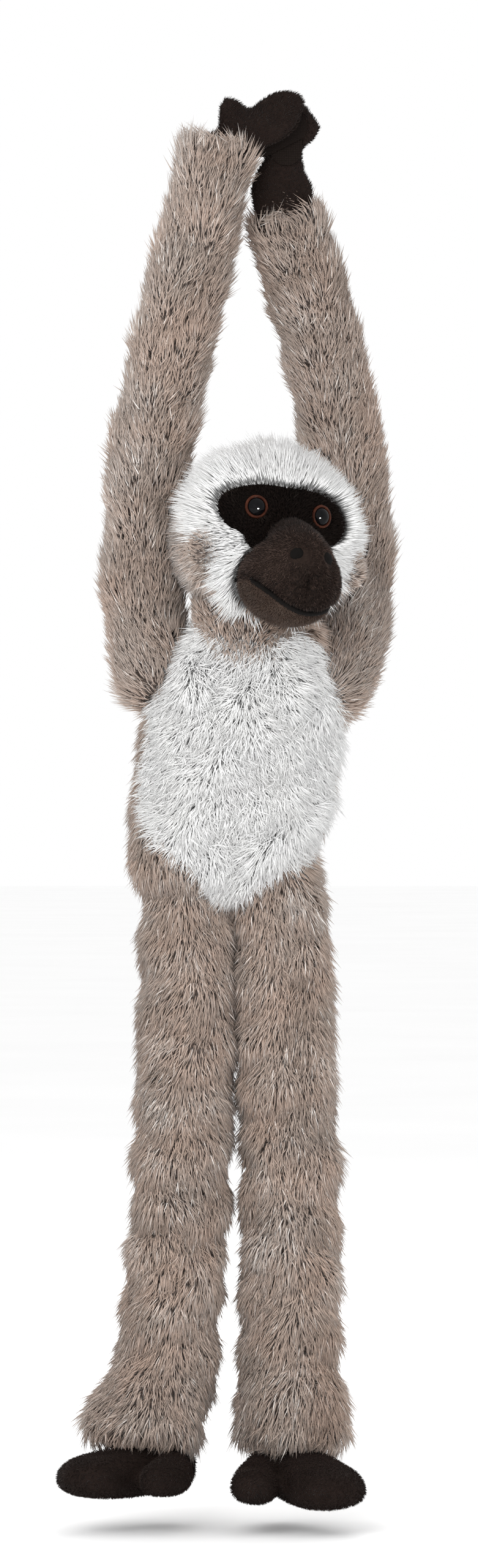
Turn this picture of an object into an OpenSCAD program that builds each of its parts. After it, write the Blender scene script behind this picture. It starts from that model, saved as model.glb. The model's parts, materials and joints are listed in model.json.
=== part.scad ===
// Long-limbed plush gibbon that hangs by its clasped hands.
// +Z is up, the chest and face look towards -Y, and +X is the toy's left side.
// The origin is the hang point, where the two palms grip each other.

/* [Trunk] */
// Width of the trunk across the belly
torso_w = 98; // [88:1:118]
// Depth of the trunk from belly to back
torso_d = 72; // [64:1:86]
// Height of the trunk from neck seam to crotch
torso_h = 130; // [118:1:156]
// Thickness of the plush fabric with its pile
skin_t = 3; // [2:0.5:4]

/* [Head] */
// Radius of the stuffed skull
skull_r = 37; // [33:0.5:38]
// How far the long pile of the ruff stands out from the skull
ruff_pile = 4; // [3:0.5:6]
// Radius of the ruff's collar of pile round the face
ruff_r = 45; // [41:0.5:48]
// Turn of the face towards the toy's left
face_turn = 25; // [0:1:30]
// Sideways lean of the face
face_lean = 7; // [0:1:10]
// Width of the muzzle
muzzle_w = 50; // [42:1:54]
// How far the muzzle stands out from the centre of the skull
muzzle_reach = 62; // [56:1:66]
// Diameter of a moulded eye
eye_d = 11.4; // [9:0.2:13]
// Distance between the eye centres
eye_gap = 33; // [30:0.5:36]
// Radius of the neck
neck_r = 13; // [11:0.5:14]

/* [Arms] */
// Length from shoulder to elbow
upper_arm_l = 91; // [84:1:110]
// Length from elbow to wrist
forearm_l = 165; // [155:1:200]
// Radius of a stuffed arm
arm_r = 18.5; // [15:0.5:19]
// Distance between the shoulder joints
shoulder_gap = 88; // [84:1:106]
// Length of a hand
hand_l = 52; // [46:1:60]
// Width of a hand
hand_w = 26; // [22:1:30]
// Thickness of a hand
hand_t = 11; // [9:0.5:14]

/* [Legs] */
// Length from hip to knee
thigh_l = 138; // [120:1:166]
// Length from knee to ankle
shin_l = 143; // [124:1:172]
// Radius of a stuffed leg
leg_r = 22.5; // [19:0.5:23]
// Distance between the hip joints
hip_gap = 48; // [47.5:0.5:56]
// Length of a foot
foot_l = 78; // [66:1:92]
// Width of a foot at the toes, without the big toe
foot_w = 42; // [36:1:48]
// Thickness of a foot
foot_t = 19; // [16:0.5:24]

/* [Fits] */
// Clearance between two pieces that move on each other
joint_gap = 0.4; // [0.3:0.1:0.8]
// Half of the gap between the faces of a bending limb
fold_gap = 0.3; // [0.2:0.05:0.5]
// How far an elbow or a knee folds
fold_angle = 80; // [60:5:90]

/* [Hidden] */
$fn = 64;
SIDES = ["right", "left"];

// Colours of the fabrics
taupe = [0.62, 0.56, 0.52];
white_pile = [0.91, 0.91, 0.90];
mask_brown = [0.11, 0.09, 0.08];
snout_brown = [0.25, 0.19, 0.16];
hand_brown = [0.17, 0.13, 0.11];
fibre_white = [0.95, 0.95, 0.93];

// The side number: 0 is the toy's right (-X), 1 is its left (+X)
right = 0;
left = 1;
function side_sign(s) = s == left ? 1 : -1;
big = 300;

// Palms meet on the plane y = 0; each hand keeps its half of the closure on its palm
patch_t = 1;
palm_y = joint_gap / 2 + patch_t;
hand_y = [-(palm_y + hand_t / 2), palm_y + hand_t / 2];
wrist = [[-15, hand_y[right], -3], [15, hand_y[left], -19]];
// Pointing direction of each hand, as the angle above the horizontal
hand_rise = [25, 87];

// The shoulders hang below the wrists on almost straight arms
arm_reach = 0.9835 * (upper_arm_l + forearm_l);
torso_x = -6;
shoulder_y = 6;
shoulder_drop = 6;
shoulder_x = [torso_x - shoulder_gap / 2, torso_x + shoulder_gap / 2];
reach_side = [wrist[right].x - shoulder_x[right], wrist[right].y - shoulder_y];
shoulder_z = wrist[right].z - sqrt(pow(arm_reach, 2) - pow(norm(reach_side), 2));
shoulder = [
    [shoulder_x[right], shoulder_y, shoulder_z],
    [shoulder_x[left], shoulder_y, shoulder_z - shoulder_drop]
];
// Each elbow stands off the straight line from shoulder to wrist in this direction
elbow_lean = [[-1, 0.15, 0], [0.44, 0.9, 0]];
elbow = [for (s = [right, left])
    two_bone(shoulder[s], wrist[s], upper_arm_l, forearm_l, elbow_lean[s])];

// The trunk hangs from the shoulders
neck_seam_z = shoulder_z + 18;
chest_c = [torso_x, 2, neck_seam_z - torso_h * 0.26];
chest_r = [torso_w * 0.43, torso_d * 0.46, torso_h * 0.26];
belly_c = [torso_x - 2, 0, neck_seam_z - torso_h * 0.51];
belly_r = [torso_w / 2, torso_d / 2, torso_h * 0.31];
pelvis_c = [torso_x - 5, 2, neck_seam_z - torso_h * 0.77];
pelvis_r = [torso_w * 0.43, torso_d * 0.43, torso_h * 0.23];

// Hips, knees and ankles
hip_z = neck_seam_z - torso_h * 0.945;
hip_x = [pelvis_c.x - hip_gap / 2, pelvis_c.x + hip_gap / 2];
hip = [for (s = [right, left]) [hip_x[s], pelvis_c.y + 2, hip_z]];
knee = [for (s = [right, left]) hip[s] + thigh_l * lean_down([1.0, 2.5][s])];
ankle = [for (s = [right, left]) knee[s] + shin_l * lean_down([-5.0, -1.2][s])];
ball_share = 0.76;
foot_turn = [-30, 12];

// The neck leans towards the toy's left, and the skull sits on its axis
neck_base = [torso_x + 4, -2, neck_seam_z - 2];
neck_axis = unit([3.5, -12, 50]);
skull_c = neck_base + (skull_r + 14.5) * neck_axis;
nod_pivot = skull_c - (skull_r - 2) * neck_axis;
neck_ball_r = neck_r + 1;

// Face, in the skull's own frame with the face towards -Y
ruff_back = 3;
collar_front = 26;
collar_back = 8;
eye_z = 11.5;
eye_x = eye_gap / 2;
eye_outward = 20;
eye_upward = 10;
mask_r = skull_r - 1.5;
eye_proud = 0.95;
eye_depth = sqrt(mask_r * mask_r - eye_x * eye_x - eye_z * eye_z) + eye_proud;
inner_r = skull_r - skin_t - 1.8;
muzzle_c = [0, -(muzzle_reach - muzzle_w / 2), -16];
mouth_tilt = 14;
mouth_drop = 15;
thread_r = 0.8;
shank_r = 1.8;
eye_rim = 1.35;

// Unit vector along v
function unit(v) = v / norm(v);
// A vector that points down and leans towards +X by a small angle
function lean_down(a) = [sin(a), 0, -cos(a)];
// Middle joint of a two-part limb from a to b that leans towards d
function two_bone(a, b, la, lb, d) =
    let (c = unit(b - a), span = norm(b - a))
    let (along = (la * la - lb * lb + span * span) / (2 * span))
    let (off = unit(d - (d * c) * c))
    a + along * c + sqrt(la * la - along * along) * off;

// Puts the children at p with their +Z along v
module aim(p, v) {
    translate(p) rotate([0, acos(v.z / norm(v)), atan2(v.y, v.x)]) children();
}

// Everything on the n side of a plane that passes gap short of p
module beyond(p, n, gap) {
    aim(p - gap * unit(n), n) translate([-big / 2, -big / 2, 0]) cube(big);
}

// A stuffed tube from a to b that runs past both ends
module tube(a, b, ra, rb, past = 0) {
    v = b - a;
    aim(a - past * unit(v), v) cylinder(r1 = ra, r2 = rb, h = norm(v) + 2 * past);
}

// A tube from a to b with a round end at a, which runs past b
module round_tube(a, b, r, past = 0) {
    aim(a, b - a) rotate_extrude() {
        intersection() {
            circle(r);
            translate([0, -r]) square([r, r]);
        }
        square([r, norm(b - a) + past]);
    }
}

// The two cuts that let a limb fold at p: u runs along the limb towards the piece that is
// cut away, s is the side it folds to, t the fold's share on that side, b on the other side
module fold_cut(p, u, s, t, b = 0) {
    beyond(p, cos(t) * u + sin(t) * s, fold_gap);
    beyond(p, cos(b) * u - sin(b) * s, fold_gap);
}

// ---- Trunk ----

// The trunk's outer form, drawn in by inset
module torso_form(inset) {
    hull() {
        translate(chest_c) scale(chest_r - [inset, inset, inset]) sphere(1, $fn = 32);
        translate(belly_c) scale(belly_r - [inset, inset, inset]) sphere(1, $fn = 32);
        translate(pelvis_c) scale(pelvis_r - [inset, inset, inset]) sphere(1, $fn = 32);
    }
}

// What the trunk leaves free for the arms, the neck and the thighs
module torso_room() {
    for (s = [right, left]) {
        round_tube(shoulder[s], elbow[s], arm_r + joint_gap);
        hip_room(s);
    }
    tube(neck_base - 12 * neck_axis, nod_pivot, neck_r + joint_gap, neck_r + joint_gap);
}

// The part of the trunk that a swinging thigh needs
module hip_room(s) {
    side = side_sign(s);
    intersection() {
        translate([hip[s].x - big / 2, -big / 2, hip[s].z - big / 2]) cube(big);
        fold_cut(hip[s], [0, 0, -1], [0, -1, 0], 45, 15);
        translate([side > 0 ? pelvis_c.x : pelvis_c.x - big, -big / 2, hip_z - big / 2])
            cube(big);
    }
}

// Outline of the white belly panel seen from the front, as points around the trunk's centre
function belly_outline() =
    let (w = torso_w / 2, top = neck_seam_z - 2, h = torso_h)
    [[-0.62 * w, top], [0.78 * w, top - 0.03 * h], [0.97 * w, top - 0.36 * h],
     [0.95 * w, top - 0.56 * h], [0.78 * w, top - 0.78 * h], [0.3 * w, top - 0.93 * h],
     [-0.12 * w, top - 1.02 * h], [-0.5 * w, top - 0.86 * h], [-0.88 * w, top - 0.74 * h],
     [-0.96 * w, top - 0.5 * h], [-0.84 * w, top - 0.28 * h]];

// A block in front of the trunk with the belly panel's outline
module belly_block() {
    translate([torso_x - 2, 0, 0]) rotate([90, 0, 0])
        linear_extrude(height = torso_d) polygon(belly_outline());
}

module torso_skin() {
    difference() {
        torso_form(0);
        torso_form(skin_t);
        torso_room();
        for (s = [right, left]) hip_ball(s, ball_share * leg_r + 0.05);
    }
}

module hip_ball(s, r) {
    translate(hip[s]) sphere(r);
}

module torso_back() {
    color(taupe) difference() {
        torso_skin();
        belly_block();
    }
}

module belly_panel() {
    color(white_pile) intersection() {
        torso_skin();
        belly_block();
    }
}

module torso_stuffing() {
    color(fibre_white) {
        difference() {
            torso_form(skin_t);
            torso_room();
            for (s = [right, left]) hip_ball(s, ball_share * leg_r);
        }
        for (s = [right, left]) hip_ball(s, ball_share * leg_r);
    }
}

// ---- Neck ----

module neck_form(inset) {
    tube(neck_base - 10 * neck_axis, nod_pivot, neck_r - inset, neck_r - inset);
    translate(nod_pivot) sphere(neck_ball_r - inset);
}

module neck_sleeve() {
    color(taupe) difference() {
        neck_form(0);
        neck_form(skin_t);
    }
}

module neck_stuffing() {
    color(fibre_white) neck_form(skin_t);
}

// ---- Head ----

// Puts the children into the skull's own frame
module in_head() {
    translate(skull_c) rotate([0, face_lean, face_turn]) children();
}

// Room under the skull for the neck, in the model's frame
module neck_room() {
    translate(nod_pivot) sphere(neck_ball_r + joint_gap);
    aim(nod_pivot, -neck_axis)
        cylinder(r1 = neck_ball_r - 3, r2 = neck_ball_r + 10, h = 18);
}

// Cuts away the front of the head, up to the seam behind the ruff
module front_of_head() {
    translate([-big / 2, -big - ruff_back, -big / 2]) cube(big);
}

// Opening in the ruff that the mask looks out of
module mask_window(grow) {
    rotate([90, 0, 0]) linear_extrude(height = big)
        translate([0, 10]) scale([31 + grow, 17 + grow]) circle(1);
}

// Opening in the ruff that the muzzle stands out of
module muzzle_window() {
    rotate([90, 0, 0]) translate([0, muzzle_c.z, 0])
        cylinder(r = muzzle_w / 2 + 1, h = big);
}

// The muzzle's swelling, drawn in by inset
module muzzle_form(inset) {
    translate(muzzle_c) sphere(muzzle_w / 2 - inset);
}

// Everything below the mouth line
module below_mouth() {
    translate(muzzle_c) rotate([mouth_tilt, 0, 0])
        translate([-big / 2, -big / 2, -big - mouth_drop]) cube(big);
}

// Puts the children on the eye's axis, with +Z looking out of the mask
module on_eye(s) {
    side = side_sign(s);
    translate([side * eye_x, -eye_depth, eye_z])
        rotate([0, 0, side * eye_outward]) rotate([90 - eye_upward, 0, 0]) children();
}

// The eye's shank hole through mask and filling
module shank_hole() {
    for (s = [right, left]) in_head() on_eye(s)
        translate([0, 0, -14]) cylinder(r = shank_r + 0.05, h = 20);
}

// The pocket that the eye's washer sits in
module washer_pocket() {
    for (s = [right, left]) in_head() on_eye(s)
        translate([0, 0, -10]) cylinder(r = eye_d / 2 + 1, h = 4);
}

module head_back() {
    color(taupe) difference() {
        in_head() difference() {
            sphere(skull_r);
            sphere(inner_r);
            front_of_head();
        }
        neck_room();
    }
}

module face_ruff() {
    color(white_pile) difference() {
        in_head() difference() {
            union() {
                intersection() {
                    sphere(skull_r + ruff_pile);
                    front_of_head();
                }
                rotate([90, 0, 0]) translate([0, 0, collar_back])
                    cylinder(r1 = ruff_r, r2 = ruff_r - 7, h = collar_front - collar_back);
            }
            sphere(inner_r);
            mask_window(0);
            muzzle_window();
        }
        neck_room();
    }
}

module face_mask() {
    color(mask_brown) difference() {
        in_head() difference() {
            intersection() {
                sphere(mask_r);
                mask_window(-0.2);
                front_of_head();
            }
            sphere(inner_r);
            muzzle_form(-0.1);
        }
        shank_hole();
    }
}

module muzzle() {
    color(snout_brown) in_head() difference() {
        muzzle_form(0);
        muzzle_form(skin_t);
        sphere(inner_r + 0.05);
        below_mouth();
        nostril_pair(0.1);
        mouth_thread(thread_r + 0.05);
    }
}

module chin() {
    color(snout_brown) in_head() difference() {
        intersection() {
            muzzle_form(1);
            below_mouth();
        }
        muzzle_form(skin_t + 0.5);
        sphere(inner_r + 0.05);
        mouth_thread(thread_r + 0.05);
    }
}

// The seam's thread round the front of the muzzle, where the mouth's plane meets its round
module mouth_thread(r) {
    translate(muzzle_c) rotate([mouth_tilt, 0, 0]) translate([0, 0, -mouth_drop])
        rotate([0, 0, 190]) rotate_extrude(angle = 160)
            translate([sqrt(pow(muzzle_w / 2, 2) - pow(mouth_drop, 2)), 0]) circle(r);
}

module mouth_seam() {
    color(mask_brown) in_head() mouth_thread(thread_r);
}

module nostril_pair(grow) {
    for (side = [-1, 1])
        translate(muzzle_c + muzzle_w / 2 * unit([side * 0.3, -0.93, 0.22]))
            sphere(2.6 + grow);
}

module nostrils() {
    color(mask_brown) in_head() nostril_pair(0);
}

module head_stuffing() {
    color(fibre_white) difference() {
        in_head() {
            sphere(inner_r);
            difference() {
                muzzle_form(skin_t + 0.5);
                nostril_pair(0.1);
            }
        }
        neck_room();
        shank_hole();
        washer_pocket();
    }
}

// Moulded eye: a domed button on a shank
module eye(s) {
    color("black") in_head() on_eye(s) {
        intersection() {
            translate([0, 0, -2]) sphere(eye_d / 2);
            cylinder(r = eye_d / 2 - eye_rim - 0.05, h = eye_d);
        }
        translate([0, 0, -11]) cylinder(r = shank_r, h = 12);
    }
}

// Coloured ring that frames the dome
module iris(s) {
    color([0.3, 0.16, 0.1]) in_head() on_eye(s) difference() {
        cylinder(r = eye_d / 2, h = 1.6);
        translate([0, 0, -1]) cylinder(r = eye_d / 2 - eye_rim, h = 4);
    }
}

// Locking washer pressed on to the shank behind the mask
module eye_washer(s) {
    color("gainsboro") in_head() on_eye(s) translate([0, 0, -9]) difference() {
        cylinder(r = eye_d / 2 + 0.8, h = 1.4);
        translate([0, 0, -1]) cylinder(r = shank_r + 0.05, h = 4);
    }
}

// Half-round flap that faces forwards, sewn to the side of the skull behind the ruff
module ear(s) {
    side = side_sign(s);
    color(taupe) in_head() difference() {
        translate([side * (skull_r - 1), 4, -2]) rotate([90, 0, 0])
            cylinder(r = 8, h = 4, center = true);
        sphere(skull_r + 0.05);
    }
}

// ---- Arms ----

function along(a, b) = unit(b - a);
// The elbow's reference direction, square to its hinge along Y
function elbow_up(s) = let (v = wrist[s] - shoulder[s]) unit([v.x, 0, v.z]);
function outward(s) = [side_sign(s), 0, 0];

// The elbow's ball, which the forearm wraps
module elbow_ball(s, r) {
    translate(elbow[s]) sphere(r);
}

module upper_arm_form(s, inset) {
    difference() {
        round_tube(shoulder[s], elbow[s], arm_r - inset, 30);
        fold_cut(elbow[s], elbow_up(s), outward(s), fold_angle / 2);
    }
}

module upper_arm_sleeve(s) {
    color(taupe) difference() {
        upper_arm_form(s, 0);
        upper_arm_form(s, skin_t);
        elbow_ball(s, ball_share * arm_r + 0.05);
    }
}

module upper_arm_stuffing(s) {
    color(fibre_white) {
        upper_arm_form(s, skin_t);
        elbow_ball(s, ball_share * arm_r);
    }
}

module forearm_form(s, inset) {
    a = elbow[s];
    b = wrist[s];
    difference() {
        tube(a - 30 * along(a, b), b - wrist_gap(s) * along(a, b),
            arm_r - inset, arm_r - inset);
        fold_cut(a, -elbow_up(s), outward(s), fold_angle / 2);
        elbow_ball(s, ball_share * arm_r + joint_gap);
    }
}

// How far the sleeve's hem stays below the wrist pivot
function wrist_gap(s) = norm([wrist_r, hand_t / 2]) + joint_gap;

module forearm_sleeve(s) {
    color(taupe) difference() {
        forearm_form(s, 0);
        forearm_form(s, skin_t);
    }
}

module forearm_stuffing(s) {
    color(fibre_white) forearm_form(s, skin_t);
}

// ---- Hands ----

// Puts the children at the wrist, with +Z along the hand and -Y or +Y towards the palm
module in_hand(s) {
    translate(wrist[s]) rotate([0, 90 - hand_rise[s], 0]) children();
}

wrist_r = hand_w * 0.3;

module hand_outline() {
    hull() {
        circle(wrist_r, $fn = 32);
        translate([0, hand_l * 0.45]) circle(hand_w * 0.5, $fn = 32);
    }
    hull() {
        translate([0, hand_l * 0.45]) circle(hand_w * 0.5, $fn = 32);
        translate([hand_w * 0.06, hand_l - hand_w * 0.42])
            circle(hand_w * 0.42, $fn = 32);
    }
}

// A slab of the hand's outline from y = y0 to y = y1
module hand_slab(y0, y1) {
    translate([0, y1, 0]) rotate([90, 0, 0]) linear_extrude(height = y1 - y0) children();
}

// The face of a hand that carries the closure: +Y on the right hand, -Y on the left
function palm_side(s) = -side_sign(s);

module hand_panel(s, face) {
    half = hand_t / 2;
    rim = face > 0 ? [0, half] : [-half, 0];
    in_hand(s) difference() {
        hand_slab(rim[0], rim[1]) hand_outline();
        hand_slab(rim[0] + (face > 0 ? -1 : 2.2), rim[1] + (face > 0 ? -2.2 : 1))
            offset(delta = -2.2) hand_outline();
    }
}

module hand_back(s) {
    color(hand_brown) hand_panel(s, -palm_side(s));
}

module hand_palm(s) {
    color(hand_brown) hand_panel(s, palm_side(s));
}

module hand_stuffing(s) {
    half = hand_t / 2 - 2.2;
    color(fibre_white) in_hand(s) hand_slab(-half, half) offset(delta = -2.2) hand_outline();
}

module thumb(s) {
    side = s == right ? -1 : 1;
    color(hand_brown) in_hand(s) difference() {
        hand_slab(-hand_t * 0.4, hand_t * 0.4) hull() {
            translate([side * hand_w * 0.3, hand_l * 0.34]) circle(5, $fn = 32);
            translate([side * hand_w * 0.78, hand_l * 0.56]) circle(4.5, $fn = 32);
        }
        hand_slab(-hand_t, hand_t) offset(delta = 0.05) hand_outline();
    }
}

// Closure patch on a palm
module palm_patch(s) {
    y0 = palm_side(s) > 0 ? hand_t / 2 : -hand_t / 2 - patch_t;
    in_hand(s) hand_slab(y0, y0 + patch_t) hull() {
        translate([0, hand_l * 0.4]) circle(hand_w * 0.3, $fn = 32);
        translate([0, hand_l * 0.72]) circle(hand_w * 0.28, $fn = 32);
    }
}

module hook_patch() {
    color(mask_brown) palm_patch(right);
}

module loop_patch() {
    color(snout_brown) palm_patch(left);
}

// ---- Legs ----

hip_fold = 90;
hip_back = 30;
knee_fold = fold_angle;

module thigh_form(s, inset) {
    a = hip[s];
    b = knee[s];
    difference() {
        tube(a - 25 * along(a, b), b + 30 * along(a, b), leg_r - inset, leg_r - inset);
        fold_cut(a, [0, 0, 1], [0, -1, 0], hip_fold / 2, hip_back / 2);
        hip_ball(s, ball_share * leg_r + joint_gap);
        fold_cut(b, [0, 0, -1], [0, 1, 0], knee_fold / 2);
    }
}

module knee_ball(s, r) {
    translate(knee[s]) sphere(r);
}

module thigh_sleeve(s) {
    color(taupe) difference() {
        thigh_form(s, 0);
        thigh_form(s, skin_t);
        knee_ball(s, ball_share * leg_r + 0.05);
    }
}

module thigh_stuffing(s) {
    color(fibre_white) {
        thigh_form(s, skin_t);
        knee_ball(s, ball_share * leg_r);
    }
}

ankle_gap = 8;
foot_ball_r = 12;

module shin_form(s, inset) {
    a = knee[s];
    b = ankle[s];
    difference() {
        tube(a - 30 * along(a, b), b - ankle_gap * along(a, b), leg_r - inset, leg_r - inset);
        fold_cut(a, [0, 0, 1], [0, 1, 0], knee_fold / 2);
        knee_ball(s, ball_share * leg_r + joint_gap);
        translate(b) sphere(foot_ball_r + joint_gap);
    }
}

module shin_sleeve(s) {
    color(taupe) difference() {
        shin_form(s, 0);
        shin_form(s, skin_t);
    }
}

module shin_stuffing(s) {
    color(fibre_white) shin_form(s, skin_t);
}

// ---- Feet ----

// Puts the children under the ankle, with -Y towards the toes
module in_foot(s) {
    translate(ankle[s]) rotate([0, 0, foot_turn[s]]) children();
}

module foot_outline(s) {
    inner = -side_sign(s);
    hull() {
        translate([0, foot_l * 0.1]) circle(foot_w * 0.42, $fn = 32);
        translate([-inner * foot_w * 0.16, -foot_l * 0.9 + foot_w * 0.62])
            circle(foot_w * 0.5, $fn = 32);
    }
}

module toe_outline(s) {
    inner = -side_sign(s);
    hull() {
        translate([inner * foot_w * 0.2, -foot_l * 0.1]) circle(foot_w * 0.24, $fn = 32);
        translate([inner * foot_w * 0.58, -foot_l * 0.42]) circle(foot_w * 0.25, $fn = 32);
    }
}

foot_low = -foot_t;
foot_mid = -foot_t / 2;

module foot_top(s) {
    color(hand_brown) in_foot(s) {
        difference() {
            translate([0, 0, foot_mid]) linear_extrude(height = foot_t / 2) foot_outline(s);
            translate([0, 0, foot_mid - 1]) linear_extrude(height = foot_t / 2 - 1.4)
                offset(delta = -2.4) foot_outline(s);
        }
        difference() {
            sphere(foot_ball_r);
            translate([-big / 2, -big / 2, -big]) cube(big);
        }
    }
}

module foot_sole(s) {
    color(hand_brown) in_foot(s) difference() {
        translate([0, 0, foot_low]) linear_extrude(height = foot_t / 2) foot_outline(s);
        translate([0, 0, foot_low + 2.4]) linear_extrude(height = foot_t / 2)
            offset(delta = -2.4) foot_outline(s);
    }
}

module foot_stuffing(s) {
    color(fibre_white) in_foot(s) translate([0, 0, foot_low + 2.4])
        linear_extrude(height = foot_t - 4.8) offset(delta = -2.4) foot_outline(s);
}

module big_toe(s) {
    color(hand_brown) in_foot(s) difference() {
        translate([0, 0, foot_low + 1]) linear_extrude(height = foot_t - 3) toe_outline(s);
        translate([0, 0, -big / 2]) linear_extrude(height = big)
            offset(delta = 0.05) foot_outline(s);
    }
}

// ---- Show the nodes ----

torso_back();
belly_panel();
torso_stuffing();
neck_sleeve();
neck_stuffing();
head_back();
face_ruff();
face_mask();
muzzle();
chin();
mouth_seam();
nostrils();
head_stuffing();
hook_patch();
loop_patch();
for (s = [right, left]) {
    side = SIDES[s];
    eye(s);
    iris(s);
    eye_washer(s);
    ear(s);
    upper_arm_sleeve(s);
    upper_arm_stuffing(s);
    forearm_sleeve(s);
    forearm_stuffing(s);
    hand_back(s);
    hand_palm(s);
    hand_stuffing(s);
    thumb(s);
    thigh_sleeve(s);
    thigh_stuffing(s);
    shin_sleeve(s);
    shin_stuffing(s);
    foot_top(s);
    foot_sole(s);
    foot_stuffing(s);
    big_toe(s);
}
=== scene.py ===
"""Looks of a long-limbed plush gibbon that hangs by its clasped hands.

Every soft part is a stuffed skin worked out with numpy, and every pile is real geometry: thousands of
bent, tapered strands that grow out of the skin along the nap. Sizes are in millimetres until a mesh is
made, and places come from the frame's joints. Each class below is one sub-assembly of the toy.
"""
import json
import logging
import math
from dataclasses import dataclass, field
from enum import Enum
from typing import Callable, Optional, Sequence

import bpy
import numpy as np
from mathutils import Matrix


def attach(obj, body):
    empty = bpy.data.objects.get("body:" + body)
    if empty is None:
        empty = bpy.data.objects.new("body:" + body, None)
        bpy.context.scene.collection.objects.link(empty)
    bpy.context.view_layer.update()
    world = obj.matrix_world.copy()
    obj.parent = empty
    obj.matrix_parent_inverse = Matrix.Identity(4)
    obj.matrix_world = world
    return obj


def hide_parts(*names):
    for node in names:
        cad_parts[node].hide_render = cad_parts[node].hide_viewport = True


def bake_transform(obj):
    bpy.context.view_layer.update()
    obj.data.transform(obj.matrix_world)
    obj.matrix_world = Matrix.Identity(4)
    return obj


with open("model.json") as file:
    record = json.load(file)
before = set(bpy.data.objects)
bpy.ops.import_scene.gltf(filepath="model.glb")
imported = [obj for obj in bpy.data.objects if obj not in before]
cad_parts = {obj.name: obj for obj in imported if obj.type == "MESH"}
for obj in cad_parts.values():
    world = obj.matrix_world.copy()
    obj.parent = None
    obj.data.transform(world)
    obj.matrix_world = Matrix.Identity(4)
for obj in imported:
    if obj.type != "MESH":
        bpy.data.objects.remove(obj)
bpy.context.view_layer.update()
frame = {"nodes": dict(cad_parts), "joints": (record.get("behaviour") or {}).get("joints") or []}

LOG = logging.getLogger("gibbon")
MM = 0.001
Array = np.ndarray
Colour = tuple[float, float, float]
Tree = bpy.types.NodeTree
Socket = bpy.types.NodeSocket
Material = bpy.types.Material
Piece = bpy.types.Object
JOINTS = {joint["name"]: joint for joint in frame["joints"]}
STRAND_UV = "OFBake"
SHINY = "shiny"


class Side(Enum):
    """The toy's own right (-X) and left (+X)."""

    RIGHT = "right"
    LEFT = "left"

    @property
    def sign(self) -> int:
        """-1 for the toy's right, +1 for its left."""
        return -1 if self is Side.RIGHT else 1


class Spike(Enum):
    """Shapes of one hair of pile."""

    BENT = "bent"
    SHORT = "short"


# ---------------------------------------------------------------- vectors


def vec(*numbers: float) -> Array:
    """A vector of floats."""
    return np.array(numbers, float)


def unit(v: Array) -> Array:
    """Vectors scaled to length one."""
    return v / np.maximum(np.linalg.norm(v, axis=-1, keepdims=True), 1e-9)


def pivot(joint: str) -> Array:
    """Place of a joint in millimetres."""
    return np.array(JOINTS[joint]["pos_m"], float) / MM


def greater(a: Array, b: Array, blend: float) -> Array:
    """The greater of a and b, rounded over where they meet: (a + b + sqrt((a - b)^2 + blend^2)) / 2."""
    return 0.5 * (a + b + np.sqrt((a - b) ** 2 + blend**2)) - 0.2 * blend


def smoothstep(low: float, high: float, x: Array) -> Array:
    """0 below low, 1 above high, and 3t^2 - 2t^3 between."""
    t = np.clip((x - low) / (high - low), 0.0, 1.0)
    return t * t * (3.0 - 2.0 * t)


def turn(axis: str, degrees: float) -> Array:
    """Rotation matrix about one of the three axes."""
    c, s = math.cos(math.radians(degrees)), math.sin(math.radians(degrees))
    if axis == "z":
        return np.array([[c, -s, 0], [s, c, 0], [0, 0, 1]])
    if axis == "y":
        return np.array([[c, 0, s], [0, 1, 0], [-s, 0, c]])
    return np.array([[1, 0, 0], [0, c, -s], [0, s, c]])


class Ripple:
    """A smooth field of height and slope over space: the sum of cosine waves in random directions.

    height(p) = sum of cos(k.p + phase) / sqrt(waves), where |k| is near 2 pi / size.
    """

    def __init__(self, size: float, seed: int, waves: int = 14) -> None:
        """Draws the waves.

        Args:
            size: Wavelength in millimetres.
            seed: Seed of the random directions.
            waves: How many waves are summed.
        """
        rng = np.random.default_rng(seed)
        lengths = 2 * math.pi / (size * rng.uniform(0.75, 1.35, waves))
        self.k = unit(rng.normal(size=(waves, 3))) * lengths[:, None]
        self.phase = rng.uniform(0, 2 * math.pi, waves)
        self.scale = math.sqrt(2.0 / waves)
        self.wave = 2 * math.pi / size

    def height(self, p: Array) -> Array:
        """The field's value at each point, with a spread of about one."""
        return np.cos(p @ self.k.T + self.phase).sum(-1) * self.scale

    def slope(self, p: Array) -> Array:
        """The field's slope at each point, scaled to a spread of about one."""
        return -np.sin(p @ self.k.T + self.phase) @ self.k * (self.scale / self.wave)


# ---------------------------------------------------------------- surfaces


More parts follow.
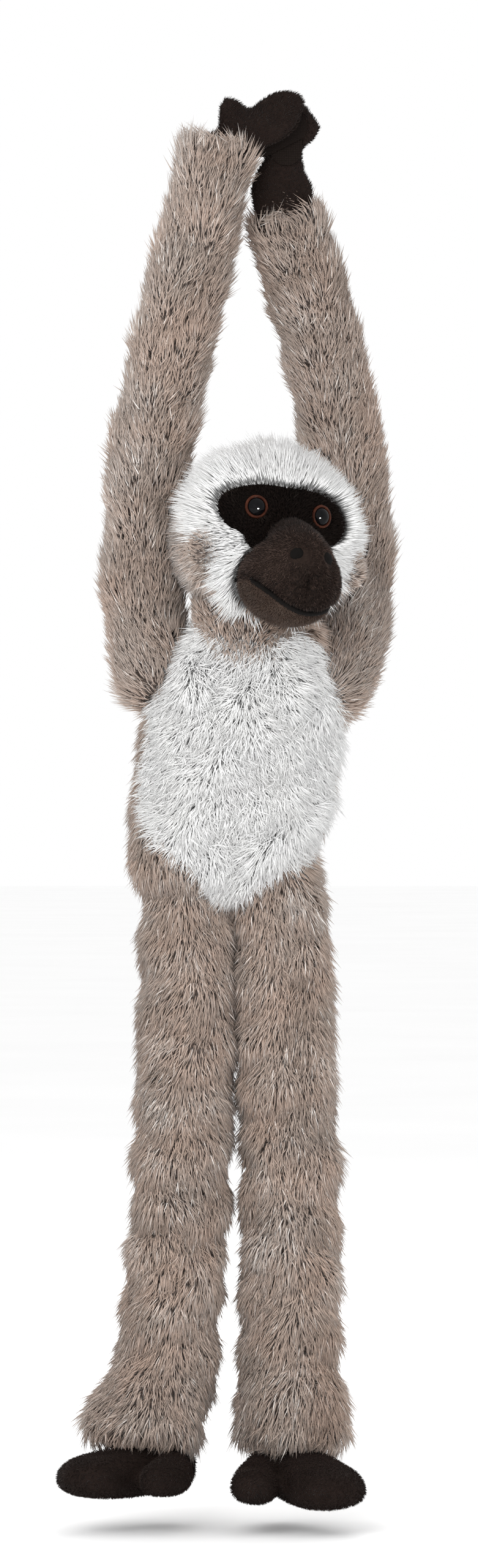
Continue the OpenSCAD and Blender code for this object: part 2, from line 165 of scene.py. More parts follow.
@dataclass
class Surface:
    """Corners in millimetres and triangles whose faces point outwards."""

    points: Array
    tris: Array

    def face_normals(self) -> Array:
        """Normal of each triangle, as long as twice its area."""
        a, b, c = (self.points[self.tris[:, i]] for i in range(3))
        return np.cross(b - a, c - a)

    def normals(self) -> Array:
        """Unit normal at each corner: the sum of its triangles' normals."""
        total = np.zeros_like(self.points)
        faces = self.face_normals()
        for i in range(3):
            np.add.at(total, self.tris[:, i], faces)
        return unit(total)

    def facing_out(self, centre: Array) -> "Surface":
        """The same surface, turned so that most of it faces away from centre."""
        middle = self.points[self.tris].mean(1)
        if (self.face_normals() * (middle - centre)).sum() < 0:
            return Surface(self.points, self.tris[:, ::-1].copy())
        return self

    def part(self, keep: Array) -> "Surface":
        """Only the triangles that keep names, with the corners that they use."""
        used, index = np.unique(self.tris[keep], return_inverse=True)
        return Surface(self.points[used], index.reshape(-1, 3))

    def inset(self, depth: float) -> "Surface":
        """The surface drawn in along its normals by depth."""
        return Surface(self.points - depth * self.normals(), self.tris)

    def thickened(self, wall: float) -> "Surface":
        """A closed shell: the surface, its inset copy turned inwards, and a strip along each rim."""
        count = len(self.points)
        inner = self.points - wall * self.normals()
        edges = self.tris[:, [0, 1, 1, 2, 2, 0]].reshape(-1, 2)
        low, high = edges.min(1), edges.max(1)
        _, first, uses = np.unique(low * count + high, return_index=True, return_counts=True)
        rim = edges[first[uses == 1]]
        a, b = rim[:, 0], rim[:, 1]
        strips = [np.stack([b, a, a + count], 1), np.stack([b, a + count, b + count], 1)]
        tris = np.concatenate([self.tris, self.tris[:, ::-1] + count, *strips])
        return Surface(np.concatenate([self.points, inner]), tris)


def grid_tris(rows: int, cols: int, wrap: bool) -> Array:
    """Two triangles for each cell of a grid of points, rows by cols, joined round if wrap is set."""
    r, c = np.meshgrid(np.arange(rows - 1), np.arange(cols if wrap else cols - 1), indexing="ij")
    a = (r * cols + c).ravel()
    b = (r * cols + (c + 1) % cols).ravel()
    return np.concatenate([np.stack([a, b, b + cols], 1), np.stack([a, b + cols, a + cols], 1)])


def closed_grid(points: Array, first: Array, last: Array) -> Surface:
    """A grid whose rows are closed rings, shut by the pole first before row 0 and last after the end."""
    rows, cols = points.shape[:2]
    ring = np.arange(cols)
    after = np.roll(ring, -1)
    count = rows * cols
    end = (rows - 1) * cols
    start_fan = np.stack([np.full(cols, count), after, ring], 1)
    end_fan = np.stack([np.full(cols, count + 1), end + ring, end + after], 1)
    tris = np.concatenate([grid_tris(rows, cols, True), start_fan, end_fan])
    surface = Surface(np.concatenate([points.reshape(-1, 3), first[None], last[None]]), tris)
    return surface.facing_out(surface.points.mean(0))


def cubic(controls: Sequence[Array], t: Array) -> Array:
    """Cubic curve with four controls: (1-t)^3 a + 3(1-t)^2 t b + 3(1-t) t^2 c + t^3 d."""
    a, b, c, d = controls
    t = t[:, None]
    s = 1 - t
    return s**3 * a + 3 * s * s * t * b + 3 * s * t * t * c + t**3 * d


def closed_curve(corners: Array, count: int) -> Array:
    """A smooth closed curve through a few corners: periodic Catmull-Rom pieces.

    Args:
        corners: Points that the curve passes through, in order.
        count: How many points to return.

    Returns:
        Points along the curve.
    """
    n = len(corners)
    t = np.linspace(0, n, count, endpoint=False)
    i = np.floor(t).astype(int)
    f = (t - i)[:, None]
    a, b, c, d = (corners[(i + k) % n] for k in (-1, 0, 1, 2))
    return 0.5 * (2 * b + (c - a) * f + (2 * a - 5 * b + 4 * c - d) * f**2
                  + (3 * b - a - 3 * c + d) * f**3)


def inside(outline: Array, x: Array, z: Array) -> Array:
    """Whether each point (x, z) is in a closed outline: it is if a ray crosses it an odd number of times."""
    odd = np.zeros(x.shape, bool)
    for (x0, z0), (x1, z1) in zip(outline, np.roll(outline, -1, axis=0)):
        spans = (z0 > z) != (z1 > z)
        cross = x0 + (z - z0) / (z1 - z0 if z1 != z0 else 1e-9) * (x1 - x0)
        odd ^= spans & (x < cross)
    return odd


# ---------------------------------------------------------------- pile


@dataclass(frozen=True)
class Pile:
    """How a pile stands. Lengths are in millimetres, angles in degrees from the fabric's normal."""

    length: float
    width: float
    density: float
    rise: float
    lie: float
    stray: float = 14.0
    gather: float = 1.3
    gather_size: float = 6.0
    lock: float = 1.6
    lock_size: float = 17.0
    # share of strands given near-white tones as painted glints, standing in for hairs that catch the light
    bright: float = 0.05
    spike: Spike = Spike.BENT


@dataclass
class Strands:
    """Hairs as one mesh: corners, triangles, and a UV pair for each corner of each triangle."""

    points: Array
    tris: Array
    uv: Array


LONG_TAUPE = Pile(length=11.5, width=0.76, density=1.12, rise=30, lie=68, bright=0.035)
BACK_TAUPE = Pile(length=11.0, width=0.80, density=1.0, rise=30, lie=68, bright=0.035)
NECK_TAUPE = Pile(length=8.0, width=0.80, density=1.0, rise=35, lie=60)
EAR_TAUPE = Pile(length=5.5, width=0.60, density=2.0, rise=25, lie=50, gather=0.7)
RUFF_WHITE = Pile(length=14.0, width=0.70, density=2.3, rise=20, lie=46, stray=10, gather=1.2,
                  gather_size=5.0, lock=0.9, bright=0.12)
BELLY_WHITE = Pile(length=12.0, width=0.85, density=1.75, rise=28, lie=60, stray=24, gather=1.3,
                   lock=2.0, bright=0.10)
MASK_PILE = Pile(length=3.2, width=0.42, density=3.6, rise=28, lie=50, stray=25, gather=0.3,
                 gather_size=3.0, lock=0.3, lock_size=9.0, bright=0.02, spike=Spike.SHORT)
SNOUT_PILE = Pile(length=2.0, width=0.44, density=3.0, rise=30, lie=55, stray=25, gather=0.3,
                  gather_size=3.0, lock=0.4, lock_size=8.0, bright=0.03, spike=Spike.SHORT)
MINKY_PILE = Pile(length=1.7, width=0.50, density=1.4, rise=35, lie=60, stray=22, gather=0.25,
                  gather_size=4.0, lock=0.4, lock_size=12.0, bright=0.02, spike=Spike.SHORT)


def scatter(skin: Surface, density: float, rng: np.random.Generator) -> tuple[Array, Array]:
    """Roots spread evenly over a skin.

    Args:
        skin: The fabric.
        density: Roots in a square millimetre.
        rng: Source of the draws.

    Returns:
        The roots' places and the fabric's unit normals there.
    """
    normals = skin.normals()
    area = np.linalg.norm(skin.face_normals(), axis=1) / 2
    share = area * density
    copies = np.floor(share + rng.random(len(share))).astype(int)
    face = np.repeat(np.arange(len(copies)), copies)
    a, b = rng.random(len(face)), rng.random(len(face))
    fold = a + b > 1
    a[fold], b[fold] = 1 - a[fold], 1 - b[fold]
    weights = np.stack([1 - a - b, a, b], 1)[:, :, None]
    corners = skin.tris[face]
    return (skin.points[corners] * weights).sum(1), unit((normals[corners] * weights).sum(1))


def grow(skin: Surface, pile: Pile, nap: Callable[[Array], Array], seed: int,
         scale: Optional[Callable[[Array], Array]] = None,
         tint: Optional[Callable[[Array], Array]] = None) -> Strands:
    """Grows a pile of strands on a skin.

    A bent strand runs from a point under the fabric, through a three-cornered ring, to its tip:
    ring = root + 0.45 L (cos(rise) n + sin(rise) nap), tip = ring + 0.55 L (cos(lie) n + sin(lie) nap).
    Tips also slide down the slopes of two ripple fields, which gathers them into tufts and locks.
    A short spike has its ring at the fabric and one tip.

    Args:
        skin: The fabric that the strands stand on.
        pile: Sizes and angles.
        nap: Gives the direction that the pile is brushed in at each root.
        seed: Seed of the random draws.
        scale: Gives a factor on the strand's length at each root.
        tint: Gives an amount to add to the strand's tone at each root.

    Returns:
        The strands as one mesh.
    """
    rng = np.random.default_rng(seed)
    root, n = scatter(skin, pile.density, rng)
    count = len(root)
    brushed = nap(root)
    brushed = unit(brushed - (brushed * n).sum(1, keepdims=True) * n)
    angle = np.radians(pile.stray) * rng.normal(size=(count, 1))
    brushed = np.cos(angle) * brushed + np.sin(angle) * np.cross(n, brushed)
    tufts, locks = Ripple(pile.gather_size, seed + 1), Ripple(pile.lock_size, seed + 2)
    lock_height = locks.height(root)
    length = pile.length * np.clip(1 + 0.13 * rng.normal(size=count) + 0.09 * lock_height, 0.55, 1.4)
    if scale is not None:
        length = length * scale(root)
    pull = -pile.gather * tufts.slope(root) - pile.lock * locks.slope(root)
    pull -= 0.6 * (pull * n).sum(1, keepdims=True) * n
    pull *= (length / pile.length)[:, None]
    tilt = np.radians(6.0) * rng.normal(size=count)
    rise, lie = np.radians(pile.rise) + tilt, np.radians(pile.lie) + tilt
    length, rise, lie = length[:, None], rise[:, None], lie[:, None]
    first = np.cos(rise) * n + np.sin(rise) * brushed
    second = np.cos(lie) * n + np.sin(lie) * brushed
    bend = root + 0.45 * length * first + 0.35 * pull
    tip = bend + 0.55 * length * second + 0.65 * pull
    # painted highlights: this share of strands gets near-white tones, as if they glinted in the light
    painted_glints = rng.random(count) < pile.bright
    shade = Ripple(30.0, seed + 3).height(root)
    tone = 0.48 + 0.13 * rng.normal(size=count) + 0.07 * shade + 0.06 * lock_height
    if tint is not None:
        tone = tone + tint(root)
    tone = np.clip(np.where(painted_glints, rng.uniform(0.86, 0.97, count), tone), 0.03, 0.84 + 0.13 * painted_glints)
    width = pile.width * rng.uniform(0.75, 1.25, (count, 1)) / 2
    if pile.spike is Spike.SHORT:
        return spikes(root - 0.25 * n, tip, n, width, tone)
    return bent_strands(root - 0.8 * n, bend, tip, width, tone)


def ring_round(middle: Array, along: Array, across: Array, width: Array) -> list[Array]:
    """Three corners round a strand: middle + width (cos(a) across + 0.6 sin(a) side), a = 0, 120, 240."""
    side = unit(np.cross(along, across))
    return [middle + width * (math.cos(a) * across + 0.6 * math.sin(a) * side)
            for a in (0, 2 * math.pi / 3, 4 * math.pi / 3)]


def bent_strands(base: Array, bend: Array, tip: Array, width: Array, tone: Array) -> Strands:
    """Closed strands of six triangles: base point, ring of three corners at the bend, tip."""
    along = unit(tip - base)
    across = unit(np.cross(along, vec(0.3, 1.0, 0.2)))
    rings = ring_round(bend, along, across, width)
    points = np.stack([base, *rings, tip], 1).reshape(-1, 3)
    pattern = np.array([[0, 2, 1], [0, 3, 2], [0, 1, 3], [1, 2, 4], [2, 3, 4], [3, 1, 4]])
    heights = np.array([0.04, 0.5, 0.53, 0.56, 0.97])
    return woven(points, pattern, heights, tone, 5)


def spikes(base: Array, tip: Array, n: Array, width: Array, tone: Array) -> Strands:
    """Closed spikes of four triangles: three corners at the fabric and one tip."""
    across = unit(np.cross(n, vec(0.3, 1.0, 0.2)))
    rings = ring_round(base, n, across, width)
    points = np.stack([*rings, tip], 1).reshape(-1, 3)
    pattern = np.array([[0, 2, 1], [0, 1, 3], [1, 2, 3], [2, 0, 3]])
    heights = np.array([0.04, 0.08, 0.12, 0.97])
    return woven(points, pattern, heights, tone, 4)


def woven(points: Array, pattern: Array, heights: Array, tone: Array, corners: int) -> Strands:
    """Repeats one strand's triangles for all strands, with u = the strand's tone and v = its height."""
    count = len(tone)
    tris = (np.arange(count)[:, None, None] * corners + pattern[None]).reshape(-1, 3)
    u = tone[:, None, None] + 0.006 * np.array([0.0, 1.0, 2.0])[None, None, :]
    v = np.broadcast_to(heights[pattern][None], (count, len(pattern), 3))
    uv = np.stack([np.broadcast_to(u, v.shape), v], -1).reshape(-1, 2)
    return Strands(points, tris, uv)


# ---------------------------------------------------------------- finishes


def new_material(name: str, roughness: float) -> tuple[Material, Tree, bpy.types.Node]:
    """An empty material with a principled shader.

    Args:
        name: The material's name.
        roughness: How matt the surface is.

    Returns:
        The material, its node tree and its shader.
    """
    material = bpy.data.materials.new(name)
    material.use_nodes = True
    tree = material.node_tree
    shader = tree.nodes["Principled BSDF"]
    shader.inputs["Roughness"].default_value = roughness
    return material, tree, shader


def add_node(tree: Tree, kind: str, **inputs: object) -> bpy.types.Node:
    """Adds a shader node and sets its inputs: a socket is linked, anything else is a plain value."""
    node = tree.nodes.new(kind)
    for key, value in inputs.items():
        socket = node.inputs[key.replace("_", " ").title() if key[0].islower() else key]
        if isinstance(value, Socket):
            tree.links.new(value, socket)
        else:
            socket.default_value = value
    return node


def ramp(tree: Tree, factor: Socket, stops: Sequence[tuple[float, Colour]]) -> Socket:
    """A colour ramp over factor with the given stops."""
    node = add_node(tree, "ShaderNodeValToRGB", Fac=factor)
    elements = node.color_ramp.elements
    while len(elements) < len(stops):
        elements.new(0.5)
    for element, (place, colour) in zip(elements, stops):
        element.position = place
        element.color = (*colour, 1.0)
    return node.outputs["Color"]


def mixed(tree: Tree, factor: object, a: object, b: object, blend: str = "MIX") -> Socket:
    """The mix of two colours, each a socket or a plain colour."""
    node = tree.nodes.new("ShaderNodeMix")
    node.data_type = "RGBA"
    node.blend_type = blend
    for index, value in ((0, factor), (6, a), (7, b)):
        if isinstance(value, Socket):
            tree.links.new(value, node.inputs[index])
        elif index:
            node.inputs[index].default_value = (*value, 1.0)
        else:
            node.inputs[index].default_value = value
    return node.outputs[2]


def noise(tree: Tree, scale: float, detail: float = 3.0) -> Socket:
    """Noise over the object's own coordinates, scale in waves per metre."""
    place = tree.nodes.new("ShaderNodeTexCoord").outputs["Object"]
    return add_node(tree, "ShaderNodeTexNoise", vector=place, scale=scale, detail=detail).outputs["Fac"]


@dataclass(frozen=True)
class PileFinish:
    """Colour of a pile: each strand's tone picks a colour, roots are darkened with painted shade, patches
    drift to a blush.
    """

    name: str
    deep: Colour
    body: Colour
    # the palest colour: worn by the lightest strands and by the painted glints, strands coloured as if they
    # caught the light
    pale_and_glint: Colour
    blush: Colour
    # how dark each strand is painted at its root, as shade deep in the pile
    root: float = 0.55
    roughness: float = 0.5
    sheen: float = 0.25
    specular: float = 0.5

    def build(self) -> Material:
        """Makes the material."""
        material, tree, shader = new_material(self.name, self.roughness)
        uv = tree.nodes.new("ShaderNodeUVMap")
        uv.uv_map = STRAND_UV
        parts = add_node(tree, "ShaderNodeSeparateXYZ", vector=uv.outputs["UV"])
        stops = [(0.1, self.deep), (0.48, self.body), (0.66, self.body), (0.95, self.pale_and_glint)]
        tone = ramp(tree, parts.outputs["X"], stops)
        patches = ramp(tree, noise(tree, 38.0), [(0.35, (0, 0, 0)), (0.68, (0.55, 0.55, 0.55))])
        tone = mixed(tree, patches, tone, self.blush)
        # painted shade: each strand darkens towards its root, as if shaded deep in the pile
        shade = ramp(tree, parts.outputs["Y"], [(0.05, (self.root,) * 3), (0.6, (1, 1, 1))])
        colour = mixed(tree, 1.0, tone, shade, "MULTIPLY")
        tree.links.new(colour, shader.inputs["Base Color"])
        shader.inputs["Sheen Weight"].default_value = self.sheen
        shader.inputs["Sheen Roughness"].default_value = 0.4
        shader.inputs["Specular IOR Level"].default_value = self.specular
        return material


@dataclass(frozen=True)
class ClothFinish:
    """Backing cloth or a smooth plush face: mottled colour and a fine nap of bumps."""

    name: str
    body: Colour
    drift: Colour
    grain: float = 900.0
    bump: float = 0.35
    depth: float = 0.4
    roughness: float = 0.85
    sheen: float = 0.1
    specular: float = 0.2

    def build(self) -> Material:
        """Makes the material."""
        material, tree, shader = new_material(self.name, self.roughness)
        patches = ramp(tree, noise(tree, 60.0, 4.0), [(0.36, self.body), (0.68, self.drift)])
        fine = noise(tree, self.grain, 2.0)
        speckle = ramp(tree, fine, [(0.3, (0.72, 0.72, 0.72)), (0.65, (1, 1, 1))])
        tree.links.new(mixed(tree, 1.0, patches, speckle, "MULTIPLY"), shader.inputs["Base Color"])
        bump = add_node(tree, "ShaderNodeBump", strength=self.bump, height=fine)
        bump.inputs["Distance"].default_value = self.depth * MM
        tree.links.new(bump.outputs["Normal"], shader.inputs["Normal"])
        shader.inputs["Sheen Weight"].default_value = self.sheen
        shader.inputs["Specular IOR Level"].default_value = self.specular
        return material


@dataclass(frozen=True)
class GlossFinish:
    """Moulded glossy plastic with a faint cloudy depth."""

    name: str
    body: Colour
    drift: Colour
    roughness: float = 0.025

    def build(self) -> Material:
        """Makes the material."""
        material, tree, shader = new_material(self.name, self.roughness)
        colour = ramp(tree, noise(tree, 420.0), [(0.35, self.body), (0.65, self.drift)])
        tree.links.new(colour, shader.inputs["Base Color"])
        shader.inputs["Specular IOR Level"].default_value = 0.08
        shader.inputs["Coat Weight"].default_value = 0.05
        shader.inputs["Coat Roughness"].default_value = 0.03
        return material


@dataclass(frozen=True)
class TapeFinish:
    """Closure tape: rows of tiny hooks or loops on a woven band."""

    name: str
    body: Colour
    tip: Colour
    pitch: float = 1400.0

    def build(self) -> Material:
        """Makes the material."""
        material, tree, shader = new_material(self.name, 0.6)
        shader.inputs["Specular IOR Level"].default_value = 0.05
        place = tree.nodes.new("ShaderNodeTexCoord").outputs["Object"]
        cells = add_node(tree, "ShaderNodeTexVoronoi", vector=place, scale=self.pitch)
        cells.inputs["Randomness"].default_value = 0.25
        colour = ramp(tree, cells.outputs["Distance"], [(0.1, self.tip), (0.5, self.body)])
        tree.links.new(colour, shader.inputs["Base Color"])
        bump = add_node(tree, "ShaderNodeBump", strength=0.8, height=cells.outputs["Distance"])
        bump.inputs["Distance"].default_value = 0.3 * MM
        tree.links.new(bump.outputs["Normal"], shader.inputs["Normal"])
        return material


class Wardrobe:
    """All finishes of the toy, each made once."""

    def __init__(self) -> None:
        """Makes the materials."""
        self.taupe = PileFinish(
            "taupe_pile",
            (0.25, 0.195, 0.16), (0.435, 0.355, 0.305), (0.92, 0.88, 0.84), (0.52, 0.37, 0.29),
        ).build()
        self.white = PileFinish(
            "white_pile",
            (0.74, 0.73, 0.73), (0.90, 0.90, 0.895), (1.0, 1.0, 1.0), (0.88, 0.875, 0.86),
            root=0.88, roughness=0.42,
        ).build()
        self.mask = PileFinish(
            "mask_pile",
            (0.005, 0.0036, 0.003), (0.013, 0.009, 0.0075), (0.04, 0.032, 0.027), (0.008, 0.004, 0.003),
            root=0.6, roughness=0.8, sheen=0.0, specular=0.08,
        ).build()
        self.snout = PileFinish(
            "snout_pile",
            (0.006, 0.004, 0.003), (0.029, 0.018, 0.0145), (0.15, 0.10, 0.082), (0.022, 0.013, 0.010),
            root=0.6, roughness=0.75, sheen=0.02, specular=0.1,
        ).build()
        self.chin = PileFinish(
            "chin_pile",
            (0.020, 0.013, 0.010), (0.080, 0.052, 0.039), (0.17, 0.125, 0.10), (0.062, 0.038, 0.028),
            root=0.6, roughness=0.75, sheen=0.03, specular=0.12,
        ).build()
        self.minky = PileFinish(
            "minky_pile",
            (0.007, 0.0042, 0.0034), (0.017, 0.0105, 0.0085), (0.06, 0.047, 0.04), (0.024, 0.013, 0.010),
            root=0.7, roughness=0.7, sheen=0.03, specular=0.15,
        ).build()
        # painted shade: the backing cloth's taupe is darkened well below the pile's, standing in for the shade
        # at the roots seen between strands
        self.root_shaded_taupe_cloth = ClothFinish(
            "root_shaded_taupe_cloth",
            (0.20, 0.16, 0.14), (0.26, 0.19, 0.16),
        ).build()
        self.white_cloth = ClothFinish(
            "white_cloth",
            (0.80, 0.80, 0.80), (0.86, 0.86, 0.85),
        ).build()
        self.mask_cloth = ClothFinish(
            "mask_cloth",
            (0.005, 0.0035, 0.003), (0.009, 0.006, 0.005),
            sheen=0.0, specular=0.08,
        ).build()
        self.snout_cloth = ClothFinish(
            "snout_cloth",
            (0.018, 0.0115, 0.009), (0.026, 0.0165, 0.013),
            sheen=0.0, specular=0.1,
        ).build()
        self.chin_cloth = ClothFinish(
            "chin_cloth",
            (0.048, 0.032, 0.025), (0.062, 0.041, 0.031),
            sheen=0.0, specular=0.1,
        ).build()
        self.minky_cloth = ClothFinish(
            "minky_cloth",
            (0.012, 0.0075, 0.006), (0.017, 0.0105, 0.0085),
            sheen=0.0, specular=0.1,
        ).build()
        self.fibre = ClothFinish(
            "stuffing_fibre",
            (0.82, 0.82, 0.80), (0.90, 0.90, 0.88),
            grain=300.0, bump=0.9, depth=1.5,
        ).build()
        self.thread = ClothFinish(
            "mouth_thread",
            (0.003, 0.0025, 0.002), (0.006, 0.0045, 0.004),
            grain=2500.0, sheen=0.0, specular=0.15,
        ).build()
        self.pupil = GlossFinish("eye_dome", (0.002, 0.002, 0.0025), (0.005, 0.0045, 0.005)).build()
        self.iris = GlossFinish("eye_ring", (0.030, 0.008, 0.004), (0.055, 0.016, 0.008), 0.12).build()
        self.washer = ClothFinish(
            "washer_plastic",
            (0.74, 0.74, 0.72), (0.80, 0.80, 0.78),
            grain=200.0, bump=0.05, roughness=0.5, sheen=0.0,
        ).build()
        self.hooks = TapeFinish("hook_tape", (0.008, 0.0055, 0.0045), (0.014, 0.010, 0.0085)).build()
        # painted shade: the loop tape is near black so that, where it shows between the hands, it reads as the
        # shadow between the palms
        self.loops = TapeFinish("loop_tape", (0.008, 0.0055, 0.0045), (0.013, 0.009, 0.0075), 900.0).build()


# ---------------------------------------------------------------- pieces


def make_piece(name: str, points: Array, tris: Array, material: Material,
               uv: Optional[Array] = None) -> Piece:
    """Puts arrays into a new smooth mesh object at the origin.

    Args:
        name: The piece's name.
        points: Corners in millimetres.
        tris: Triangles.
        material: The piece's finish.
        uv: A UV pair for each corner of each triangle.

    Returns:
        The new object.
    """
    mesh = bpy.data.meshes.new(name)
    mesh.vertices.add(len(points))
    mesh.vertices.foreach_set("co", (points * MM).astype(np.float32).ravel())
    mesh.loops.add(3 * len(tris))
    mesh.loops.foreach_set("vertex_index", tris.astype(np.int32).ravel())
    mesh.polygons.add(len(tris))
    mesh.polygons.foreach_set("loop_start", np.arange(0, 3 * len(tris), 3, dtype=np.int32))
    mesh.polygons.foreach_set("use_smooth", np.ones(len(tris), bool))
    mesh.update(calc_edges=True)
    if uv is not None:
        layer = mesh.uv_layers.new(name=STRAND_UV)
        layer.data.foreach_set("uv", uv.astype(np.float32).ravel())
    mesh.materials.append(material)
    piece = bpy.data.objects.new(name, mesh)
    bpy.context.scene.collection.objects.link(piece)
    LOG.info("%s: %d triangles", name, len(tris))
    return piece


@dataclass
class Bend:
    """A joint that soft pieces span, with body_a before start and body_b after end; the pieces do not bend
    with it but stay fixed in place.
    """

    body_a: str
    body_b: str
    start: Array
    end: Array


@dataclass
class Carrier:
    """What a soft piece moves with: one body; a piece that spans a bend is left fixed in place."""

    body: str = ""
    bend: Optional[Bend] = None

    def take(self, piece: Piece, slot: str, stands_for: Sequence[str] = (),
             fill: Optional[float] = None) -> Piece:
        """Args:
            piece: The finished piece.
            slot: The record's material slot; not used.
            stands_for: CAD nodes that the piece replaces.
            fill: How tightly a padded piece is filled, from 0 to 1; not used.

        Returns:
            The piece.
        """
        if self.bend:
            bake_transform(piece)
        else:
            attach(piece, self.body)
        if stands_for:
            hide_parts(*stands_for)
        return piece


def add_skin(name: str, skin: Surface, finish: Material, carrier: Carrier, slot: str,
             nodes: Sequence[str], fill: float = 0.8, wall: float = 1.2) -> None:
    """Adds a stuffed part's fabric as a closed shell of the given wall."""
    shell = skin.thickened(wall)
    carrier.take(make_piece(name, shell.points, shell.tris, finish), slot, nodes, fill)


def add_pile(name: str, strands: Strands, finish: Material, carrier: Carrier, slot: str,
             nodes: Sequence[str] = ()) -> None:
    """Adds a mesh of strands."""
    carrier.take(make_piece(name, strands.points, strands.tris, finish, strands.uv), slot, nodes)


def add_stuffing(name: str, skin: Surface, finish: Material, carrier: Carrier,
                 nodes: Sequence[str], depth: float = 1.8) -> None:
    """Adds the lump of fibre inside a closed skin, a little smaller than the skin and uneven."""
    lump = skin.inset(depth)
    wad = Ripple(9.0, 71).height(lump.points)[:, None]
    lump.points = lump.points - 0.35 * (1 + np.clip(wad, -1, 1)) * lump.normals()
    carrier.take(make_piece(name, lump.points, lump.tris, finish), "fibrefill", nodes)


# ---------------------------------------------------------------- limbs


@dataclass
class Limb:
    """A stuffed plush tube along a cubic curve, with a round end at its joint and a hem at the other.

    point(row, a) = curve(t) + r(t, a) (cos(a) across + sin(a) up), where r has slow lumps of stuffing.
    """

    name: str
    controls: Sequence[Array]
    radius: float
    carrier: Carrier
    sleeves: Sequence[str]
    stuffings: Sequence[str]
    hem: float = 0.0
    seed: int = 1
    cuts: Sequence[float] = (0.5,)
    pile: Pile = LONG_TAUPE
    rows: int = 96
    cols: int = 56
    lump: float = 0.5
    flare: Array = field(default_factory=lambda: vec(0, 0, 0))

    def skin(self) -> Surface:
        """The tube's surface, from the round end to the hem."""
        t = np.linspace(0, 1, self.rows)
        line = cubic(self.controls, t)
        along = unit(np.gradient(line, axis=0))
        across = unit(np.cross(vec(0, 1, 0), along))
        up = np.cross(along, across)
        line = line + smoothstep(0.84, 1.02, t)[:, None] * self.flare
        radius = self.radius + self.hem * smoothstep(0.80, 1.0, t)
        cap = np.radians(np.linspace(12, 84, 7))
        close = np.array([0.86, 0.6, 0.3])
        centres = np.concatenate([line[0] - self.radius * np.cos(cap)[:, None] * along[0], line,
                                  line[-1] + np.array([[0.8], [1.0], [0.8]]) * along[-1]])
        radii = np.concatenate([self.radius * np.sin(cap), radius, radius[-1] * close])
        ends = [np.repeat(v[:1], len(cap), 0) for v in (across, up)]
        tails = [np.repeat(v[-1:], len(close), 0) for v in (across, up)]
        across = np.concatenate([ends[0], across, tails[0]])
        up = np.concatenate([ends[1], up, tails[1]])
        a = np.linspace(0, 2 * math.pi, self.cols, endpoint=False)
        ring = np.cos(a)[None, :, None] * across[:, None] + np.sin(a)[None, :, None] * up[:, None]
        points = centres[:, None] + radii[:, None, None] * ring
        bumps = Ripple(26.0, self.seed + 40).height(points)[..., None]
        points = points + self.lump * bumps * (radii / self.radius)[:, None, None] * ring
        first = line[0] - self.radius * along[0]
        return closed_grid(points, first, line[-1] + 0.6 * along[-1])

    def nap(self, points: Array) -> Array:
        """The pile is brushed along the limb, towards its hem, and wanders a little to either side."""
        t = np.linspace(0, 1, 40)
        line = cubic(self.controls, t)
        along = unit(np.gradient(line, axis=0))
        nearest = ((points[:, None, ::2] - line[None, :, ::2]) ** 2).sum(-1).argmin(1)
        wander = Ripple(55.0, self.seed + 60).slope(points)
        return along[nearest] + 0.28 * wander

    def place(self, points: Array) -> Array:
        """How far along the limb each point lies, from 0 at the joint to 1 at the hem."""
        line = cubic(self.controls, np.linspace(0, 1, 80))
        return ((points[:, None, ::2] - line[None, :, ::2]) ** 2).sum(-1).argmin(1) / 79

    def hem_length(self, points: Array) -> Array:
        """The pile is a little longer where it falls over the hem."""
        return 1 + 0.22 * smoothstep(0.90, 1.0, self.place(points))

    def build(self, finishes: Wardrobe) -> None:
        """Makes the skin, the stuffing and the pile, which is split into pieces along the limb."""
        skin = self.skin()
        add_skin(f"{self.name}_skin", skin, finishes.root_shaded_taupe_cloth, self.carrier, "plush_taupe", self.sleeves)
        add_stuffing(f"{self.name}_stuffing", skin, finishes.fibre, self.carrier, self.stuffings)
        share = self.place(skin.points[skin.tris].mean(1))
        edges = [-1.0, *self.cuts, 2.0]
        for i, (low, high) in enumerate(zip(edges[:-1], edges[1:])):
            patch = skin.part((share >= low) & (share < high))
            strands = grow(patch, self.pile, self.nap, self.seed + 7 * i, self.hem_length)
            add_pile(f"{self.name}_pile_{i + 1}", strands, finishes.taupe, self.carrier, "plush_taupe")


def arm(side: Side) -> Limb:
    """An arm, raised and slightly bowed, from the shoulder's round end to the cuff at the wrist."""
    s = side.value
    shoulder, elbow, wrist = (pivot(f"{j}_{s}") for j in ("shoulder", "elbow", "wrist"))
    if side is Side.RIGHT:
        controls = [shoulder + vec(2.5, 0, -3), shoulder + vec(-16, -1, 67),
                    wrist + vec(-28, 7, -107), wrist + vec(-3, 0, 1)]
        hem = -2.0
    else:
        controls = [shoulder + vec(-1, 0, -4), shoulder + vec(26, 54, 53),
                    wrist + vec(25, 46, -80), wrist + vec(1.5, 2, -15)]
        hem = -1.0
    reach = 38.0
    bend = Bend(f"upper_arm_{s}", f"forearm_{s}", elbow - reach * unit(elbow - shoulder),
                elbow + reach * unit(wrist - elbow))
    return Limb(f"arm_{s}", controls, radius=13.6, carrier=Carrier(bend=bend), seed=100 + side.sign, hem=hem,
                sleeves=[f"upper_arm_sleeve_{s}", f"forearm_sleeve_{s}"],
                stuffings=[f"upper_arm_stuffing_{s}", f"forearm_stuffing_{s}"])


